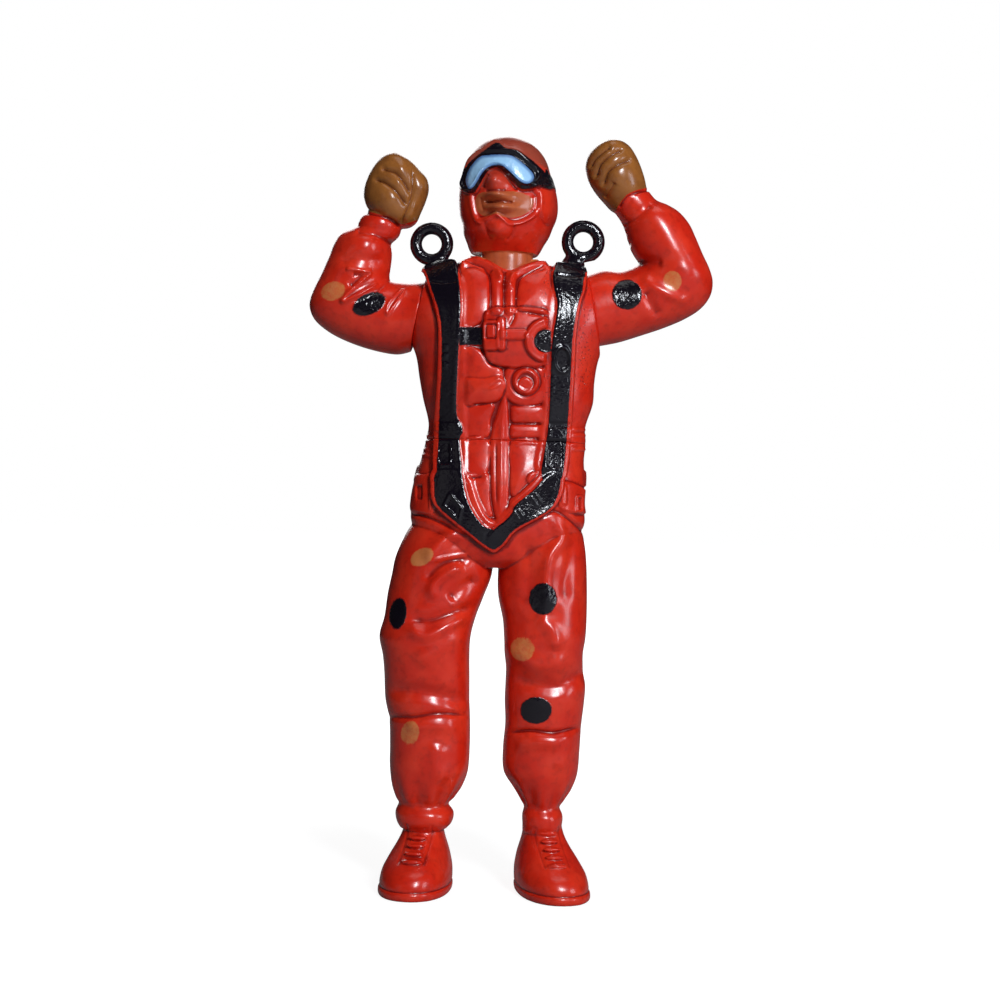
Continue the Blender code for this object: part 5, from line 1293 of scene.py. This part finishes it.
RED = (0.74, 0.021, 0.006, 1)
RED_LIGHT = (0.84, 0.038, 0.013, 1)
RED_DEEP = (0.22, 0.002, 0.001, 1)
BLACK = (0.005, 0.003, 0.007, 1)
HAND_TAN = (0.37, 0.130, 0.026, 1)
HAND_DEEP = (0.16, 0.040, 0.008, 1)
FACE_TAN = (0.56, 0.125, 0.040, 1)
FACE_DEEP = (0.30, 0.040, 0.014, 1)
SPOT_TAN = (0.73, 0.225, 0.065, 1)
SPOT_DEEP = (0.55, 0.080, 0.020, 1)
LENS_LIGHT = (0.40, 0.70, 1.0, 1)
LENS_DARK = (0.10, 0.22, 0.48, 1)
# Dull brown of the hood's top, which is also painted as shade round the nose
HOOD_DULL_BROWN = (0.36, 0.072, 0.040, 1)


def painted_vinyl(name, tan_paint, tan_deep):
    """Soft red vinyl with black, tan and blue paint sprayed on, and painted shade in its hollows.
    """
    finish = Finish(name)
    place = finish.node("TexCoord", output=3)
    black, tan, lens, spray, hollow, faded, pale = (
        finish.field(field)
        for field in ("black", "tan", "lens", "spray", "hollow", "faded", "pale"))
    cloud = finish.noise(place, 190.0, 3.0)
    mottle = finish.noise(place, 700.0, 3.0)
    ragged = finish.noise(place, 1500.0, 2.0)
    grain = finish.noise(place, 5200.0, 2.0)

    # Red vinyl, paler and deeper in random patches, with painted shade in its hollows
    red = finish.mixed(cloud.between(0.35, 0.70), RED, RED_LIGHT)
    red = finish.mixed(mottle.between(0.45, 0.80) * 0.30, red, RED_DEEP)
    # Painted shade: the red darkens in the hollows
    red = finish.mixed(hollow.between(0.0, 0.13) * 0.9, red, RED_DEEP)
    # Dull brown over the hood's top, and painted shade round the nose
    red = finish.mixed(faded * (0.65 + 0.35 * cloud), red, HOOD_DULL_BROWN)

    # Tan paint of the hands, face and spots, with painted shade in its hollows
    tan_edge = tan + (ragged - 0.5) * 0.16 + (grain - 0.5) * 0.12
    tan_share = tan_edge.between(-0.10, 0.12)
    tan_colour = finish.mixed(mottle.between(0.40, 0.75) * 0.35, tan_paint, tan_deep)
    tan_colour = finish.mixed(pale, tan_colour, SPOT_TAN)
    # Painted shade: the tan darkens in the hollows
    tan_colour = finish.mixed(hollow.between(0.01, 0.16) * 0.85, tan_colour, tan_deep)
    colour = finish.mixed(tan_share, red, tan_colour)

    # Black paint with ragged edges, and specks beside it
    black_edge = black + (ragged - 0.5) * 0.18 + (grain - 0.5) * 0.14
    black_share = black_edge.between(-0.08, 0.09)
    specks = finish.noise(place, 2600.0, 1.0).between(0.62, 0.68) * spray
    black_share = black_share.most(specks * 0.8)
    colour = finish.mixed(black_share, colour, BLACK)

    # Blue paint of the lens
    lens_share = (lens + (ragged - 0.5) * 0.10).between(-0.03, 0.05)
    lens_colour = finish.mixed(lens.between(0.05, 0.75), LENS_DARK, LENS_LIGHT)
    colour = finish.mixed(lens_share, colour, lens_colour)

    # Gloss, and the bumps of the skin and of the paint's grain
    rough = 0.245 + 0.08 * (mottle - 0.5) + 0.05 * (grain - 0.5)
    paint_rough = 0.15 + 0.14 * (grain - 0.5)
    rough = rough + black_share * (paint_rough - rough)
    rough = rough + lens_share * (0.22 - rough)
    bump_height = cloud * 0.08 + mottle * 0.020 + grain * (0.003 + black_share * 0.016)
    bump_height = bump_height + black_share * ragged * 0.10
    bump = finish.node("Bump", {}, {"Strength": 1.0, "Distance": MILLIMETRE,
                                    "Height": bump_height})
    shader = finish.shader
    finish.set(shader.inputs["Base Color"], colour)
    finish.set(shader.inputs["Roughness"], rough)
    finish.set(shader.inputs["Normal"], bump)
    shader.inputs["Specular IOR Level"].default_value = 0.72
    shader.inputs["IOR"].default_value = 1.5
    return finish.material


def floor_finish():
    """Pale floor that runs into the white behind it and keeps the figure's shadow."""
    finish = Finish("pale_floor")
    finish.shader.inputs["Roughness"].default_value = 0.9
    seen = finish.node("LightPath", output=0)
    pale = finish.mixed(seen, (0.32, 0.32, 0.32, 1), (0.70, 0.70, 0.70, 1))
    finish.set(finish.shader.inputs["Base Color"], pale)
    place = finish.node("TexCoord", output=3)
    away = finish.node("VectorMath", {"operation": "LENGTH"}, {0: place}, 1)
    glow = finish.node("Emission", {}, {"Color": (1, 1, 1, 1), "Strength": 1.3})
    share = seen * (0.70 + 0.30 * away.between(0.05, 0.16))
    mixed = finish.node("MixShader", {}, {0: share, 1: Value(finish, finish.shader.outputs[0]),
                                          2: glow})
    finish.tree.links.new(mixed.socket, finish.output.inputs["Surface"])
    return finish.material


# Stage


def soft_lamp(name, place, size, power, colour=(1, 1, 1), shine=1.0):
    """Rectangular lamp that points at the figure's middle."""
    lamp = bpy.data.lights.new(name, "AREA")
    lamp.color = colour
    lamp.specular_factor = shine
    lamp.shape = "RECTANGLE"
    lamp.size, lamp.size_y = size
    lamp.energy = power
    holder = add(name, lamp)
    holder.location = place
    way = Vector((0, 0, 0.075)) - holder.location
    holder.rotation_euler = way.to_track_quat("-Z", "Y").to_euler()


def studio():
    """White background that only the camera sees, the floor and the lamps."""
    scene = bpy.context.scene
    scene.view_settings.view_transform = "Standard"
    world = bpy.data.worlds.new("white_studio")
    scene.world = world
    world.use_nodes = True
    nodes, links = world.node_tree.nodes, world.node_tree.links
    background = nodes["Background"]
    background.inputs["Color"].default_value = (0.02, 0.02, 0.023, 1)
    white = nodes.new("ShaderNodeBackground")
    mixer = nodes.new("ShaderNodeMixShader")
    path = nodes.new("ShaderNodeLightPath")
    links.new(path.outputs["Is Camera Ray"], mixer.inputs[0])
    links.new(background.outputs[0], mixer.inputs[1])
    white.inputs["Color"].default_value = (1, 1, 1, 1)
    links.new(white.outputs[0], mixer.inputs[2])
    links.new(mixer.outputs[0], nodes["World Output"].inputs["Surface"])

    shape = bmesh.new()
    bmesh.ops.create_grid(shape, x_segments=1, y_segments=1, size=3.0)
    floor = add("floor", mesh_of("floor", shape))
    floor.data.materials.append(floor_finish())

    soft_lamp("front_window", (0.21, -0.56, 0.34), (0.08, 0.22), 3.0, (0.90, 0.94, 1.0))
    soft_lamp("side_window", (0.52, -0.31, 0.17), (0.14, 0.26), 0.60, (0.85, 0.91, 1.0))
    soft_lamp("overhead", (0.10, -0.10, 0.75), (0.40, 0.30), 0.40)
    soft_lamp("left_fill", (-0.50, -0.55, 0.20), (0.30, 0.30), 0.06)
    soft_lamp("back_fill", (-0.10, 0.60, 0.35), (0.40, 0.40), 1.2, shine=0.1)


def camera():
    eye = bpy.data.cameras.new("front_eye")
    eye.lens = 64.2
    eye.sensor_width = 36
    eye.clip_start = 0.01
    eye.clip_end = 20
    holder = add("front_eye", eye)
    right = Vector((math.cos(SHEET_LEAN), 0, math.sin(SHEET_LEAN)))
    up = Vector((-math.sin(SHEET_LEAN), 0, math.cos(SHEET_LEAN)))
    back = Vector((0, -1, 0))
    turn = Matrix((right, up, back)).transposed().to_4x4()
    spot = Vector((NECK[0], NECK[1] - EYE_DISTANCE * MILLIMETRE, EYE_HEIGHT * MILLIMETRE))
    holder.matrix_world = Matrix.Translation(spot) @ turn
    bpy.context.scene.camera = holder


studio()
camera()
sleeve_vinyl = painted_vinyl("sleeve_and_fist_vinyl", HAND_TAN, HAND_DEEP)
body_pieces(painted_vinyl("suit_and_harness_vinyl", SPOT_TAN, SPOT_DEEP))
arm_piece("right_arm", -1, RIGHT_SLEEVE, RIGHT_FIST, right_arm_detail, RIGHT_HAND,
          RIGHT_ARM_SPOTS, sleeve_vinyl)
arm_piece("left_arm", 1, LEFT_SLEEVE, LEFT_FIST, left_arm_detail, LEFT_HAND, LEFT_ARM_SPOTS,
          sleeve_vinyl)
head_piece(painted_vinyl("hood_and_goggles_vinyl", FACE_TAN, FACE_DEEP))
